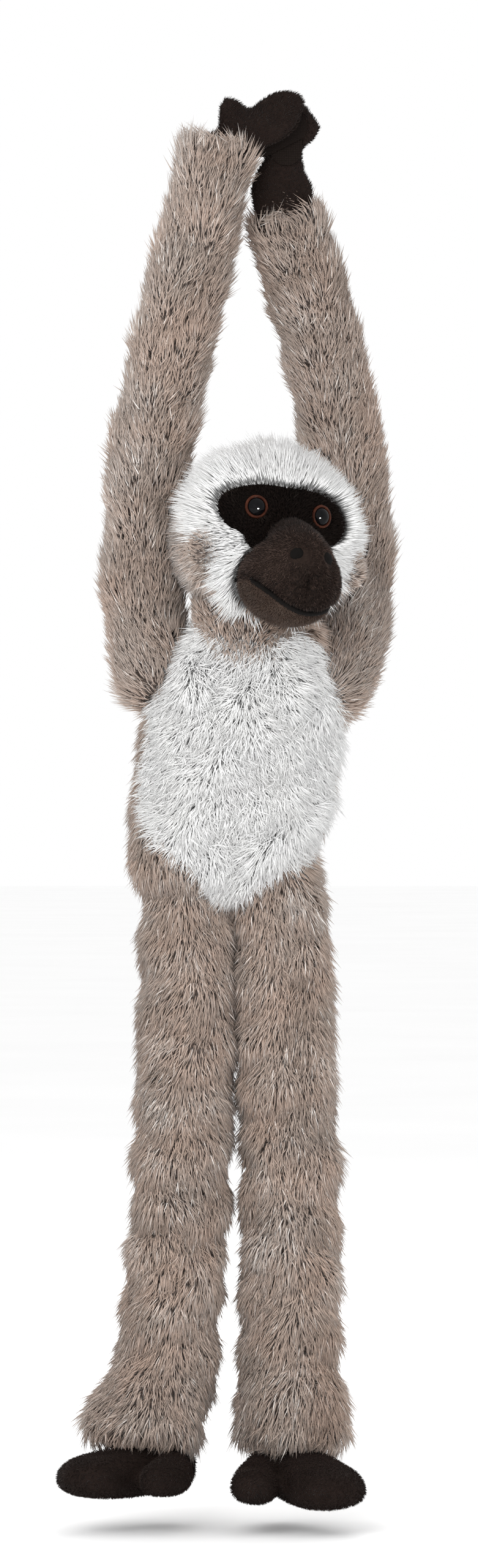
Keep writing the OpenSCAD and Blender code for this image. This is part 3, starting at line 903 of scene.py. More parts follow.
def leg(side: Side) -> Limb:
    """A leg, from the round end in the hip to the wider cuff over the foot."""
    s = side.value
    hip, knee, ankle = (pivot(f"{j}_{s}") for j in ("hip", "knee", "ankle"))
    if side is Side.RIGHT:
        controls = [hip + vec(3, 0, 0), hip + vec(4, 0, -93), ankle + vec(9, 0, 82), ankle + vec(-2.5, 0, 12)]
        hem, flare = 4.5, vec(-7, -2, 0)
    else:
        controls = [hip + vec(-3, 0, 0), hip + vec(6, 0, -93), ankle + vec(4, 0, 92), ankle + vec(0, 0, 11)]
        hem, flare = 3.5, vec(3, -2, 0)
    reach = 42.0
    bend = Bend(f"thigh_{s}", f"shin_{s}", knee + vec(0, 0, reach), knee - vec(0, 0, reach))
    return Limb(f"leg_{s}", controls, radius=17.4, carrier=Carrier(bend=bend), seed=200 + side.sign,
                sleeves=[f"thigh_sleeve_{s}", f"shin_sleeve_{s}"], hem=hem, flare=flare, cuts=(0.34, 0.67),
                stuffings=[f"thigh_stuffing_{s}", f"shin_stuffing_{s}"], lump=0.9, cols=64)


# ---------------------------------------------------------------- trunk


@dataclass
class Trunk:
    """The trunk: a barrel whose rings are ellipses, with a white belly panel in front.

    Half width at height z is W (1 - |h|^p)^(1/p) (1 - taper smoothstep(h)), with h = (z - middle) /
    half height, and the ring's centre drifts sideways with height.
    """

    half_width: float = 43.5
    half_depth: float = 30.0
    half_height: float = 67.0
    middle: Array = field(default_factory=lambda: vec(-8, 1, -296))
    drift: float = 0.16
    fullness: float = 3.4
    taper: float = 0.16
    rows: int = 96
    cols: int = 120

    def centre_x(self, z: Array) -> Array:
        """Sideways place of the trunk's centre line at height z."""
        return self.middle[0] + self.drift * (z - self.middle[2])

    def skin(self) -> Surface:
        """The whole trunk's surface."""
        h = -np.cos(np.linspace(0.12, math.pi - 0.12, self.rows))
        wide = (1 - np.abs(h) ** self.fullness) ** (1 / self.fullness) * (1 - self.taper * smoothstep(0, 1, h))
        z = self.middle[2] + self.half_height * h
        a = np.linspace(0, 2 * math.pi, self.cols, endpoint=False)
        x = self.centre_x(z)[:, None] + self.half_width * wide[:, None] * np.cos(a)
        y = self.middle[1] + self.half_depth * wide[:, None] * np.sin(a)
        points = np.stack([x, y, np.broadcast_to(z[:, None], x.shape)], -1)
        out = unit(points - np.stack([self.centre_x(z), np.full_like(z, self.middle[1]), z], -1)[:, None])
        points = points + 0.9 * Ripple(34.0, 31).height(points)[..., None] * out
        top, bottom = (vec(self.centre_x(self.middle[2] + k), self.middle[1], self.middle[2] + k)
                       for k in (self.half_height, -self.half_height))
        return closed_grid(points, bottom, top)

    def belly_outline(self) -> Array:
        """The belly panel's outline as (x, z), drawn in shares of the trunk's width and height."""
        shares = np.array([
            [-0.60, 0.93], [-0.05, 0.955], [0.40, 0.92], [0.76, 0.84], [1.02, 0.72], [1.16, 0.51],
            [1.23, 0.16], [1.09, -0.28], [0.79, -0.63], [0.30, -0.84], [-0.12, -1.0], [-0.40, -0.82],
            [-0.74, -0.63], [-0.91, -0.36], [-0.93, -0.06], [-0.84, 0.31], [-0.67, 0.61],
        ])
        x = self.middle[0] + self.half_width * shares[:, 0]
        z = self.middle[2] + self.half_height * shares[:, 1]
        return closed_curve(np.stack([x, z], 1), 120)

    def belly_nap(self, points: Array) -> Array:
        """Belly pile falls downwards and spreads from the middle, with slow swirls."""
        spread = (points[:, 0] - self.middle[0]) / self.half_width
        down = np.stack([0.75 * spread, np.zeros_like(spread), -np.ones_like(spread)], 1)
        return down + 0.55 * Ripple(42.0, 33).slope(points)

    def back_nap(self, points: Array) -> Array:
        """The rest of the trunk is brushed down."""
        return vec(0, 0, -1) + 0.3 * Ripple(55.0, 35).slope(points)

    def build(self, finishes: Wardrobe) -> None:
        """Makes the two skins, the stuffing and the piles."""
        carrier = Carrier("torso")
        skin = self.skin()
        middle = skin.points[skin.tris].mean(1)
        front = inside(self.belly_outline(), middle[:, 0], middle[:, 2]) & (middle[:, 1] < self.middle[1])
        belly, back = skin.part(front), skin.part(~front)
        add_skin("belly_panel_skin", belly, finishes.white_cloth, carrier, "plush_white", ["belly_panel"])
        add_skin("torso_back_skin", back, finishes.root_shaded_taupe_cloth, carrier, "plush_taupe", ["torso_back"])
        add_stuffing("trunk_stuffing", skin, finishes.fibre, carrier, ["torso_stuffing"])
        strands = grow(belly, BELLY_WHITE, self.belly_nap, 310)
        add_pile("belly_pile", strands, finishes.white, carrier, "plush_white")
        sides = back.points[back.tris].mean(1)[:, 0] < self.middle[0]
        for i, half in enumerate((sides, ~sides)):
            add_pile(f"torso_back_pile_{i + 1}", grow(back.part(half), BACK_TAUPE, self.back_nap, 320 + 9 * i),
                     finishes.taupe, carrier, "plush_taupe")


@dataclass
class Neck:
    """The short stuffed neck between the trunk and the skull."""

    radius: float = 24.0
    sunk: float = 5.0

    def build(self, finishes: Wardrobe) -> None:
        """Makes the skin, the stuffing and the pile."""
        base, top = pivot("neck_turn"), pivot("head_nod")
        axis = unit(top - base)
        t = np.linspace(0, 1, 4)
        limb = Limb("neck", list(base - self.sunk * axis + t[:, None] * (top - base + 14 * axis)), self.radius,
                    Carrier("neck"), ["neck_sleeve"], ["neck_stuffing"], cuts=(), pile=NECK_TAUPE, seed=350,
                    rows=24, cols=48)
        limb.build(finishes)


# ---------------------------------------------------------------- head


@dataclass
class Head:
    """The head, in its own frame: face towards -Y, +Z up, origin at the skull's centre.

    Its surface is seen from a point inside it: along each direction it lies at the smooth greatest of
    the distances to a round skull, a flatter face pad and an egg-shaped muzzle, less eye sockets,
    nostrils, the mouth's groove and a crease down the lip, plus the bridge of the nose. The muzzle was
    sewn on a little to the toy's left, by the distance aside.
    """

    turned: float = 25.0
    lean: float = 7.0
    above_neck: float = 49.8
    skull: Array = field(default_factory=lambda: vec(0, 3, -2))
    skull_size: Array = field(default_factory=lambda: vec(35.5, 33.5, 34.5))
    pad: Array = field(default_factory=lambda: vec(0, -14, -1.5))
    pad_size: Array = field(default_factory=lambda: vec(40.5, 25, 37))
    aside: float = 1.6
    jaw: Array = field(default_factory=lambda: vec(1.6, -40.5, -24))
    jaw_size: Array = field(default_factory=lambda: vec(25.0, 25.5, 21.5))
    bridge: Array = field(default_factory=lambda: vec(1.2, -46.5, -8.5))
    bridge_size: Array = field(default_factory=lambda: vec(13.5, 24, 12))
    bridge_slope: float = 25.0
    eye: Array = field(default_factory=lambda: vec(17.5, -34.6, 10.3))
    eye_r: float = 5.7
    ring_r: float = 5.05
    nostril: Array = field(default_factory=lambda: vec(7.6, -67, -12.5))
    eyepoint: Array = field(default_factory=lambda: vec(0, -22, -10))
    axis: Array = field(default_factory=lambda: unit(vec(0, -0.92, -0.39)))
    cols: int = 208

    def __post_init__(self) -> None:
        """Works out the head's place from the neck's joint."""
        neck = JOINTS["neck_turn"]
        self.centre = pivot("neck_turn") + self.above_neck * np.array(neck["axis"], float)
        self.matrix = turn("z", self.turned) @ turn("y", self.lean)
        self.carrier = Carrier("head")

    def placed(self, points: Array) -> Array:
        """Points of the head's frame in the toy's frame."""
        return points @ self.matrix.T + self.centre

    def local(self, points: Array) -> Array:
        """Points of the toy's frame in the head's frame."""
        return (points - self.centre) @ self.matrix

    def directions(self, rho: Array, phi: Array) -> Array:
        """Directions at the angle rho from the muzzle's axis and phi round it, phi = 90 being up."""
        e1 = vec(1, 0, 0)
        e2 = np.cross(self.axis, e1)
        e2 = e2 if e2[2] > 0 else -e2
        return (np.cos(rho)[..., None] * self.axis
                + np.sin(rho)[..., None] * (np.cos(phi)[..., None] * e1 + np.sin(phi)[..., None] * e2))

    def egg_distance(self, d: Array, centre: Array, size: Array, slope: float = 0.0) -> Array:
        """Distance along d to an ellipsoid tipped about X: the far root of |(o + r d - c) / s| = 1."""
        tip = turn("x", slope)
        o, v = ((self.eyepoint - centre) @ tip) / size, (d @ tip) / size
        a, b, c = (v * v).sum(-1), (v * o).sum(-1), (o * o).sum() - 1
        return (-b + np.sqrt(np.maximum(b * b - a * c, 0))) / a

    def distances(self, d: Array) -> tuple[Array, Array]:
        """Distances along d to the cranium with its face pad, and to the jaw with the nose's bridge."""
        skull = self.egg_distance(d, self.skull, self.skull_size)
        pad = self.egg_distance(d, self.pad, self.pad_size)
        jaw = self.egg_distance(d, self.jaw, self.jaw_size)
        bridge = self.egg_distance(d, self.bridge, self.bridge_size, self.bridge_slope)
        return greater(skull, pad, 3.0), greater(jaw, bridge, 4.0)

    def mouth_z(self, x: Array) -> Array:
        """Height of the mouth line over x: a smile that hangs lowest near the middle."""
        return -38.6 + 12.0 * (np.abs(x - self.aside - 2.0) / 25.5) ** 1.9 - 0.05 * x

    def surface(self, d: Array) -> Array:
        """The head's surface points along the directions d."""
        r = greater(*self.distances(d), 2.0)
        p = self.eyepoint + r[..., None] * d
        x, y, z = p[..., 0], p[..., 1], p[..., 2]
        front = smoothstep(20, 30, -y)

        def bump(x0: float, z0: float, wide: float, high: float) -> Array:
            """A round bump of height one at (x0, z0) on the front of the head."""
            return np.exp(-((x - x0) / wide) ** 2 - ((z - z0) / high) ** 2) * front

        nose = self.aside
        for s in (-1, 1):
            r = r - 2.2 * bump(s * self.eye[0], self.eye[2], 8.5, 8.5) + 1.6 * bump(s * 15, 20, 11, 4.5)
            r = r - 3.6 * bump(nose + s * self.nostril[0], self.nostril[2], 3.4, 3.2)
            r = r + 2.0 * bump(nose + s * 9.5, self.nostril[2] + 0.5, 5.5, 6.0)
        r = r + 1.8 * bump(nose, self.nostril[2] - 3.5, 6.5, 4.0) + 1.0 * bump(0, 0, 7.0, 9.0)
        r = r - 2.4 * bump(nose, -25, 4.0, 6.5) - 0.8 * bump(nose, -28, 1.2, 8.0)
        groove = ((z - self.mouth_z(x)) / 1.5) ** 2
        r = r - 2.0 * np.exp(-groove) * smoothstep(30, 38, -y)
        return self.eyepoint + r[..., None] * d

    def rims(self) -> dict[str, Array]:
        """Angles from the muzzle's axis, for each column, at which the patches of the head meet."""
        phi = np.linspace(0, 2 * math.pi, self.cols, endpoint=False)
        rho = np.linspace(0.02, 2.9, 700)
        d = self.directions(rho[:, None] + 0 * phi, phi + 0 * rho[:, None])
        cranium, muzzle = self.distances(d)
        p = self.surface(d)
        x, depth, z = p[..., 0], -p[..., 1], p[..., 2]

        def last(test: Array) -> Array:
            """The last angle of each column at which test holds, smoothed round the ring."""
            step = len(rho) - 1 - test[::-1].argmax(0)
            angle = np.where(test.any(0), rho[step], 0.0)
            spread = np.exp(-np.linspace(-2, 2, 9) ** 2)
            wrapped = np.concatenate([angle[-4:], angle, angle[:4]])
            return np.convolve(wrapped, spread / spread.sum(), "valid")

        seam = 12.0 + 9.0 * smoothstep(5, -20, z) + 4.5 * smoothstep(15, 30, np.abs(x)) * smoothstep(14, -4, z)
        snout = last((muzzle > cranium - 0.3) & (depth > 10))
        return {"phi": phi, "muzzle": snout, "seam": last(depth > seam)}

    def mask_outline(self) -> Array:
        """The dark mask's outline as (x, z): a wide band over the eyes with a round lobe on each side."""
        half = np.array([
            [0, 21.5], [8, 22], [17, 21.3], [25, 19], [31, 15], [33.5, 9], [32.3, 3], [28, -1.5],
            [23, -3.5], [19, -9], [8, -14],
        ])
        return closed_curve(np.concatenate([half, half[:0:-1] * [-1, 1]]), 160)

    def patch(self, phi: Array, low: Array, high: Array, rows: int, closed: bool) -> Surface:
        """The surface between two rims, as a grid of rows from low to high."""
        s = np.linspace(0, 1, rows)[:, None]
        rho = low + (high - low) * s
        points = self.placed(self.surface(self.directions(rho, phi + 0 * rho)))
        surface = Surface(points.reshape(-1, 3), grid_tris(rows, points.shape[1], closed))
        return surface.facing_out(self.placed(self.eyepoint[None])[0])

    def outward_nap(self, points: Array) -> Array:
        """The ruff radiates from the middle of the face."""
        p = self.local(points)
        radial = np.stack([p[:, 0], 0.15 * np.abs(p[:, 0]), p[:, 2] + 2.0], 1)
        return unit(radial) @ self.matrix.T

    def back_nap(self, points: Array) -> Array:
        """Behind the ruff the pile lies back and then down."""
        p = self.local(points)
        back = np.stack([0.3 * p[:, 0], np.full(len(p), 30.0), 0.3 * p[:, 2] - 12.0], 1)
        return unit(back) @ self.matrix.T

    def short_nap(self, points: Array) -> Array:
        """Mask and muzzle are brushed away from the nose."""
        p = self.local(points) - vec(0, -60, -2)
        return unit(p) @ self.matrix.T + 0.3 * Ripple(18.0, 91).slope(points)

    def build(self, finishes: Wardrobe) -> None:
        """Makes every patch of the head, then the features."""
        rims = self.rims()
        phi = rims["phi"]
        zero = np.full_like(phi, 0.012)
        snout = self.patch(phi, zero, rims["muzzle"], 92, True)
        middle = self.local(snout.points[snout.tris].mean(1))
        below = middle[:, 2] < self.mouth_z(middle[:, 0])
        upper, chin = snout.part(~below), snout.part(below)
        add_skin("muzzle_skin", upper, finishes.snout_cloth, self.carrier, "pile_snout", ["muzzle"])
        add_skin("chin_skin", chin, finishes.chin_cloth, self.carrier, "pile_snout", ["chin"])
        strands = grow(upper, SNOUT_PILE, self.short_nap, 410, self.clear_of_nostrils, self.snout_tone_and_shade)
        add_pile("muzzle_pile", strands, finishes.snout, self.carrier, "pile_snout")
        strands = grow(chin, SNOUT_PILE, self.short_nap, 415)
        add_pile("chin_pile", strands, finishes.chin, self.carrier, "pile_snout")
        face = self.patch(phi, rims["muzzle"] - 0.015, rims["seam"], 104, True)
        middle = self.local(face.points[face.tris].mean(1))
        dark = inside(self.mask_outline(), middle[:, 0], middle[:, 2])
        mask, ruff = face.part(dark), face.part(~dark)
        add_skin("mask_skin", mask, finishes.mask_cloth, self.carrier, "pile_mask", ["face_mask"])
        add_pile("mask_pile", grow(mask, MASK_PILE, self.short_nap, 420, self.clear_of_eyes), finishes.mask,
                 self.carrier, "pile_mask")
        add_skin("ruff_skin", ruff, finishes.white_cloth, self.carrier, "plush_white", ["face_ruff"])
        add_pile("ruff_pile", grow(ruff, RUFF_WHITE, self.outward_nap, 430, self.ruff_length), finishes.white,
                 self.carrier, "plush_white")
        end = np.full_like(phi, math.pi - 0.012)
        back = self.patch(phi, rims["seam"] - 0.01, end, 44, True)
        add_skin("head_back_skin", back, finishes.root_shaded_taupe_cloth, self.carrier, "plush_taupe", ["head_back"])
        strands = grow(back, LONG_TAUPE, self.back_nap, 440, self.back_length)
        add_pile("head_back_pile", strands, finishes.taupe, self.carrier, "plush_taupe")
        rho = np.linspace(0.03, math.pi - 0.03, 60)[:, None]
        whole = self.placed(self.surface(self.directions(rho + 0 * phi, phi + 0 * rho)))
        ends = self.placed(self.surface(self.directions(np.array([0.0, math.pi]), np.zeros(2))))
        add_stuffing("head_stuffing_fibre", closed_grid(whole, ends[0], ends[1]), finishes.fibre, self.carrier,
                     ["head_stuffing"], 2.4)
        self.add_mouth(finishes)
        self.add_nostrils(finishes)
        for side in Side:
            self.add_eye(side, finishes)
            self.add_ear(side, finishes)

    def snout_tone_and_shade(self, points: Array) -> Array:
        """The pile is painted darker under the nose, as shade in the crease below the nostrils, and is lighter
        on the nose and the cheeks.
        """
        p = self.local(points)
        x = p[:, 0] - self.aside
        # the last term is painted shade under the nose; the first two lighten the cheeks and the nose
        return (0.22 * smoothstep(7, 18, np.abs(x)) + 0.30 * np.exp(-(x / 12) ** 2 - ((p[:, 2] + 11) / 8) ** 2)
                - 0.45 * np.exp(-((x + 2) / 9) ** 2 - ((p[:, 2] + 26) / 8) ** 2))

    def clear_of_nostrils(self, points: Array) -> Array:
        """Muzzle pile is cropped close over the nostrils, so that their thread shows."""
        p = self.local(points)
        near = np.minimum(*(np.hypot(p[:, 0] - self.aside - s * self.nostril[0], p[:, 2] - self.nostril[2])
                            for s in (-1, 1)))
        return 0.15 + 0.85 * smoothstep(3.0, 5.0, near)

    def clear_of_eyes(self, points: Array) -> Array:
        """Mask pile is cropped close round the eyes, so that it doesn't cover their rings."""
        p = self.local(points)
        near = np.minimum(*(np.hypot(p[:, 0] - s * self.eye[0], p[:, 2] - self.eye[2]) for s in (-1, 1)))
        return 0.3 + 0.7 * smoothstep(self.eye_r - 0.5, self.eye_r + 2.5, near)

    def ruff_length(self, points: Array) -> Array:
        """Ruff pile is shorter beside the mask and the muzzle than at its rim."""
        p = self.local(points)
        return 0.60 + 0.40 * smoothstep(34, 20, -p[:, 1])

    def back_length(self, points: Array) -> Array:
        """The pile thins out under the head, where the neck is."""
        p = self.local(points)
        return 1.0 - 0.5 * smoothstep(-22, -32, p[:, 2])

    def front_point(self, x: Array, z: Array) -> Array:
        """The point of the face in front of (x, z), found by closing in on the direction to it."""
        target = np.stack([x, np.full_like(x, -60.0), z], -1)
        for _ in range(12):
            p = self.surface(unit(target - self.eyepoint))
            target = np.stack([target[..., 0] + x - p[..., 0], p[..., 1], target[..., 2] + z - p[..., 2]], -1)
        return p

    def add_mouth(self, finishes: Wardrobe) -> None:
        """The mouth: a row of embroidery laid along the groove between muzzle and chin."""
        t = np.linspace(-1, 1, 90)
        x = self.aside + 24.3 * np.sin(t * math.pi / 2 * 0.96)
        groove = self.front_point(x, self.mouth_z(x))
        line = self.placed(groove + 0.4 * unit(groove - self.eyepoint))
        along = unit(np.gradient(line, axis=0))
        up = self.matrix @ vec(0, 0, 1)
        across = unit(np.cross(along, up))
        up = np.cross(across, along)
        a = np.linspace(0, 2 * math.pi, 10, endpoint=False)
        thick = 1.25 * np.sqrt(np.clip(1 - t**6, 0.02, 1)) * (1 + 0.12 * np.cos(t * 110))
        ring = np.cos(a)[None, :, None] * across[:, None] + np.sin(a)[None, :, None] * up[:, None]
        seam = closed_grid(line[:, None] + thick[:, None, None] * ring, line[0], line[-1])
        thread = make_piece("mouth_embroidery", seam.points, seam.tris, finishes.thread)
        self.carrier.take(thread, "thread", ["mouth_seam"])

    def add_nostrils(self, finishes: Wardrobe) -> None:
        """Two embroidered nostrils, each a shallow lens of thread in its pit."""
        shapes = []
        for s in (-1, 1):
            x, z = self.aside + s * self.nostril[0], self.nostril[2]
            middle = self.front_point(np.array([x]), np.array([z]))[0] + vec(0, -0.3, 0)
            h = np.linspace(0.1, math.pi - 0.1, 14)[:, None]
            a = np.linspace(0, 2 * math.pi, 28, endpoint=False)
            ridge = 1 + 0.05 * np.cos(9 * a)
            egg = np.stack([4.0 * np.sin(h) * np.cos(a) * ridge, 1.3 * np.cos(h) + 0 * a,
                            3.4 * np.sin(h) * np.sin(a) * ridge], -1) @ turn("z", s * 14).T
            shapes.append(closed_grid(self.placed(egg + middle), self.placed(middle + vec(0, 1.0, 0)),
                                      self.placed(middle - vec(0, 1.0, 0))))
        count = len(shapes[0].points)
        points = np.concatenate([shapes[0].points, shapes[1].points])
        tris = np.concatenate([shapes[0].tris, shapes[1].tris + count])
        thread = make_piece("nostril_embroidery", points, tris, finishes.thread)
        self.carrier.take(thread, "thread", ["nostrils"])

    def eye_frame(self, side: Side) -> tuple[Array, Array, Array, Array]:
        """An eye's centre on the mask and its three axes, the last looking out."""
        s = side.sign
        centre = self.placed(self.eye * vec(s, 1, 1))
        out = self.matrix @ (turn("z", s * 12) @ unit(vec(0, -1, 0.06)))
        right = unit(np.cross(out, self.matrix @ vec(0, 0, 1)))
        return centre, right, np.cross(right, out), out

    def lathe(self, side: Side, profile: Array, first: float, last: float) -> Surface:
        """A profile of (radius, height) turned round an eye's axis, shut by poles at two heights."""
        centre, right, up, out = self.eye_frame(side)
        a = np.linspace(0, 2 * math.pi, 48, endpoint=False)
        ring = np.cos(a)[None, :, None] * right + np.sin(a)[None, :, None] * up
        points = centre + profile[:, 0, None, None] * ring + profile[:, 1, None, None] * out
        return closed_grid(points, centre + first * out, centre + last * out)

    def add_eye(self, side: Side, finishes: Wardrobe) -> None:
        """A moulded eye: a black dome on a shank, in a red-brown ring, with its washer behind."""
        s = side.value
        h = np.radians(np.linspace(8, 90, 16))[::-1]
        dome = np.stack([4.5 * np.sin(h), -0.4 + 2.9 * np.cos(h)], 1)
        shank = np.array([[1.8, -9.5], [1.8, -1.4], [4.5, -1.3], [4.5, -0.5]])
        button = self.lathe(side, np.concatenate([shank, dome]), -9.5, 2.5)
        dome_piece = make_piece(f"eye_dome_{s}", button.points, button.tris, finishes.pupil)
        bpy.data.collections[SHINY].objects.link(dome_piece)
        self.carrier.take(dome_piece, "eye_black", [f"eye_{s}"])
        a = np.radians(np.linspace(-90, 200, 22))
        lip = np.stack([self.ring_r + 0.72 * np.cos(a), 0.05 + 0.85 * np.sin(a)], 1)
        ring = self.closed_ring(side, np.concatenate([lip, lip[:1]]))
        ring_piece = make_piece(f"eye_ring_{s}", ring.points, ring.tris, finishes.iris)
        self.carrier.take(ring_piece, "eye_ring", [f"iris_{s}"])

    def closed_ring(self, side: Side, profile: Array) -> Surface:
        """A profile that comes back to its start, turned round an eye's axis into a ring."""
        surface = self.lathe(side, profile, 0.0, 0.0)
        keep = (surface.tris < len(surface.points) - 2).all(1)
        ring = Surface(surface.points, surface.tris[keep]).part(np.ones(keep.sum(), bool))
        centre = self.eye_frame(side)[0]
        middle = ring.points[ring.tris].mean(1)
        tube = centre + self.ring_r * unit(middle - centre)
        if (ring.face_normals() * (middle - tube)).sum() < 0:
            ring.tris = ring.tris[:, ::-1].copy()
        return ring

    def add_ear(self, side: Side, finishes: Wardrobe) -> None:
        """A small round ear that peeps out of the ruff: a flat egg of plush with short pile."""
        s = side.sign
        centre = vec(s * 39.0, -26.0, -13.0)
        h = np.linspace(0.15, math.pi - 0.15, 16)[:, None]
        a = np.linspace(0, 2 * math.pi, 32, endpoint=False)
        egg = np.stack([5.5 * np.sin(h) * np.cos(a), 2.6 * np.cos(h) + 0 * a, 6.5 * np.sin(h) * np.sin(a)], -1)
        ear = closed_grid(self.placed(egg + centre), self.placed(centre + vec(0, 2.6, 0)),
                          self.placed(centre - vec(0, 2.6, 0)))
        name = side.value
        add_skin(f"ear_skin_{name}", ear, finishes.root_shaded_taupe_cloth, self.carrier, "plush_taupe", [f"ear_{name}"],
                 wall=0.8)
        outward = self.matrix @ vec(s, -0.4, 0.3)
        strands = grow(ear, EAR_TAUPE, lambda p: np.broadcast_to(outward, p.shape), 450 + s)
        add_pile(f"ear_pile_{name}", strands, finishes.taupe, self.carrier, "plush_taupe")


# ---------------------------------------------------------------- hands and feet


@dataclass
class Pillow:
    """A closed stuffed shape cut from two panels of one outline.

    A point of a panel is spine + s (rim - spine), s from 0 to 1, and it stands off the middle plane by
    half the thickness times (1 - s^3)^(1/2).
    """

    outline: Array
    spine: Array
    thickness: float
    count: int = 110
    rows: int = 12

    def surface(self) -> Surface:
        """Both panels, joined along the rim, in the plane's own coordinates (u, v, height)."""
        rim = closed_curve(self.outline, self.count)
        a, b = self.spine
        share = np.clip(((rim - a) @ (b - a)) / ((b - a) @ (b - a)), 0, 1)[:, None]
        root = a + share * (b - a)
        s = np.linspace(0.04, 1, self.rows)
        flat = root[None] + s[:, None, None] * (rim - root)[None]
        height = self.thickness / 2 * np.sqrt(np.clip(1 - s**3, 0, 1))[:, None] * np.ones(self.count)
        top = np.concatenate([flat, height[..., None]], -1)
        bottom = np.concatenate([flat, -height[..., None]], -1)[-2::-1]
        points = np.concatenate([top, bottom])
        middle = (a + b) / 2
        top_pole, bottom_pole = (np.append(middle, k * self.thickness / 2) for k in (1, -1))
        return closed_grid(points, top_pole, bottom_pole)


def inflate(piece: Piece, voxel: float, pressure: float, cap: float) -> None:
    """Puffs a closed piece up like a filled bag, with cloth simulation, and applies the result.

    Args:
        piece: The closed mesh.
        voxel: Size of the remesh in millimetres.
        pressure: Pressure inside the cloth.
        cap: The furthest that a corner may move, in millimetres.
    """
    bpy.context.view_layer.objects.active = piece
    remesh = piece.modifiers.new("remesh", "REMESH")
    remesh.mode = "VOXEL"
    remesh.voxel_size = voxel * MM
    bpy.ops.object.modifier_apply(modifier=remesh.name)
    count = len(piece.data.vertices)
    start = np.empty(3 * count, np.float32)
    piece.data.vertices.foreach_get("co", start)
    cloth = piece.modifiers.new("fill", "CLOTH")
    settings = cloth.settings
    settings.quality = 5
    settings.mass = 0.1
    settings.tension_stiffness = settings.compression_stiffness = 12
    settings.bending_stiffness = 0.15
    settings.use_pressure = True
    settings.uniform_pressure_force = pressure
    settings.effector_weights.gravity = 0
    cloth.point_cache.frame_start = 1
    cloth.point_cache.frame_end = 20
    scene = bpy.context.scene
    for number in range(1, 21):
        scene.frame_set(number)
    evaluated = piece.evaluated_get(bpy.context.evaluated_depsgraph_get())
    end = np.empty(3 * count, np.float32)
    evaluated.data.vertices.foreach_get("co", end)
    piece.modifiers.remove(cloth)
    scene.frame_set(1)
    move = (end - start).reshape(-1, 3)
    far = np.linalg.norm(move, axis=1, keepdims=True)
    move *= np.minimum(1, cap * MM / np.maximum(far, 1e-9))
    piece.data.vertices.foreach_set("co", (start.reshape(-1, 3) + move).ravel())
    piece.data.update()


def surface_of(piece: Piece) -> Surface:
    """A mesh piece as arrays, in millimetres."""
    mesh = piece.data
    mesh.calc_loop_triangles()
    points = np.empty(3 * len(mesh.vertices), np.float32)
    mesh.vertices.foreach_get("co", points)
    tris = np.empty(3 * len(mesh.loop_triangles), np.int32)
    mesh.loop_triangles.foreach_get("vertices", tris)
    return Surface(points.reshape(-1, 3).astype(float) / MM, tris.reshape(-1, 3))


@dataclass
class Mitt:
    """A hand or a foot: a pillow that is filled by simulation, shaped where it rests, and seamed."""

    name: str
    pillows: Sequence[Pillow]
    origin: Array
    frame_axes: Array
    body: str
    nodes: Sequence[str]
    stuffing: str
    nap_direction: Array
    shape: Callable[[Array], Array]
    voxel: float = 2.4
    cap: float = 3.5
    pressure: float = 4.0
    seam_depth: float = 0.9

    def build(self, finishes: Wardrobe, seed: int) -> None:
        """Makes the filled skin, its seam, the fibre inside and the short pile."""
        carrier = Carrier(self.body)
        lobes = [pillow.surface() for pillow in self.pillows]
        starts = np.cumsum([0] + [len(lobe.points) for lobe in lobes])
        tris = np.concatenate([lobe.tris + start for lobe, start in zip(lobes, starts)])
        piece = make_piece(f"{self.name}_flat", np.concatenate([lobe.points for lobe in lobes]), tris,
                           finishes.minky_cloth)
        inflate(piece, self.voxel, self.pressure, self.cap)
        filled = surface_of(piece)
        rim = np.concatenate([closed_curve(pillow.outline, 220) for pillow in self.pillows])
        gap = np.full(len(filled.points), 1e9)
        for start in range(0, len(rim), 20):
            near = np.linalg.norm(filled.points[:, None, :2] - rim[None, start:start + 20], axis=-1).min(1)
            gap = np.minimum(gap, near)
        seam = np.exp(-(filled.points[:, 2] / 1.1) ** 2) * np.exp(-(gap / 5.0) ** 2)
        filled.points = filled.points - self.seam_depth * seam[:, None] * filled.normals()
        filled.points = self.shape(filled.points) @ self.frame_axes + self.origin
        filled = filled.facing_out(filled.points.mean(0))
        bpy.data.objects.remove(piece)
        skin = make_piece(f"{self.name}_cover", filled.points, filled.tris, finishes.minky_cloth)
        smooth = skin.modifiers.new("round", "SUBSURF")
        smooth.levels = smooth.render_levels = 1
        carrier.take(skin, "pile_hand", self.nodes, 0.6)
        add_stuffing(f"{self.name}_fibre", filled, finishes.fibre, carrier, [self.stuffing], 1.6)
        brushed = self.nap_direction
        strands = grow(filled, MINKY_PILE, lambda p: brushed + 0.5 * Ripple(24.0, seed).slope(p), seed)
        add_pile(f"{self.name}_pile", strands, finishes.minky, carrier, "pile_hand")


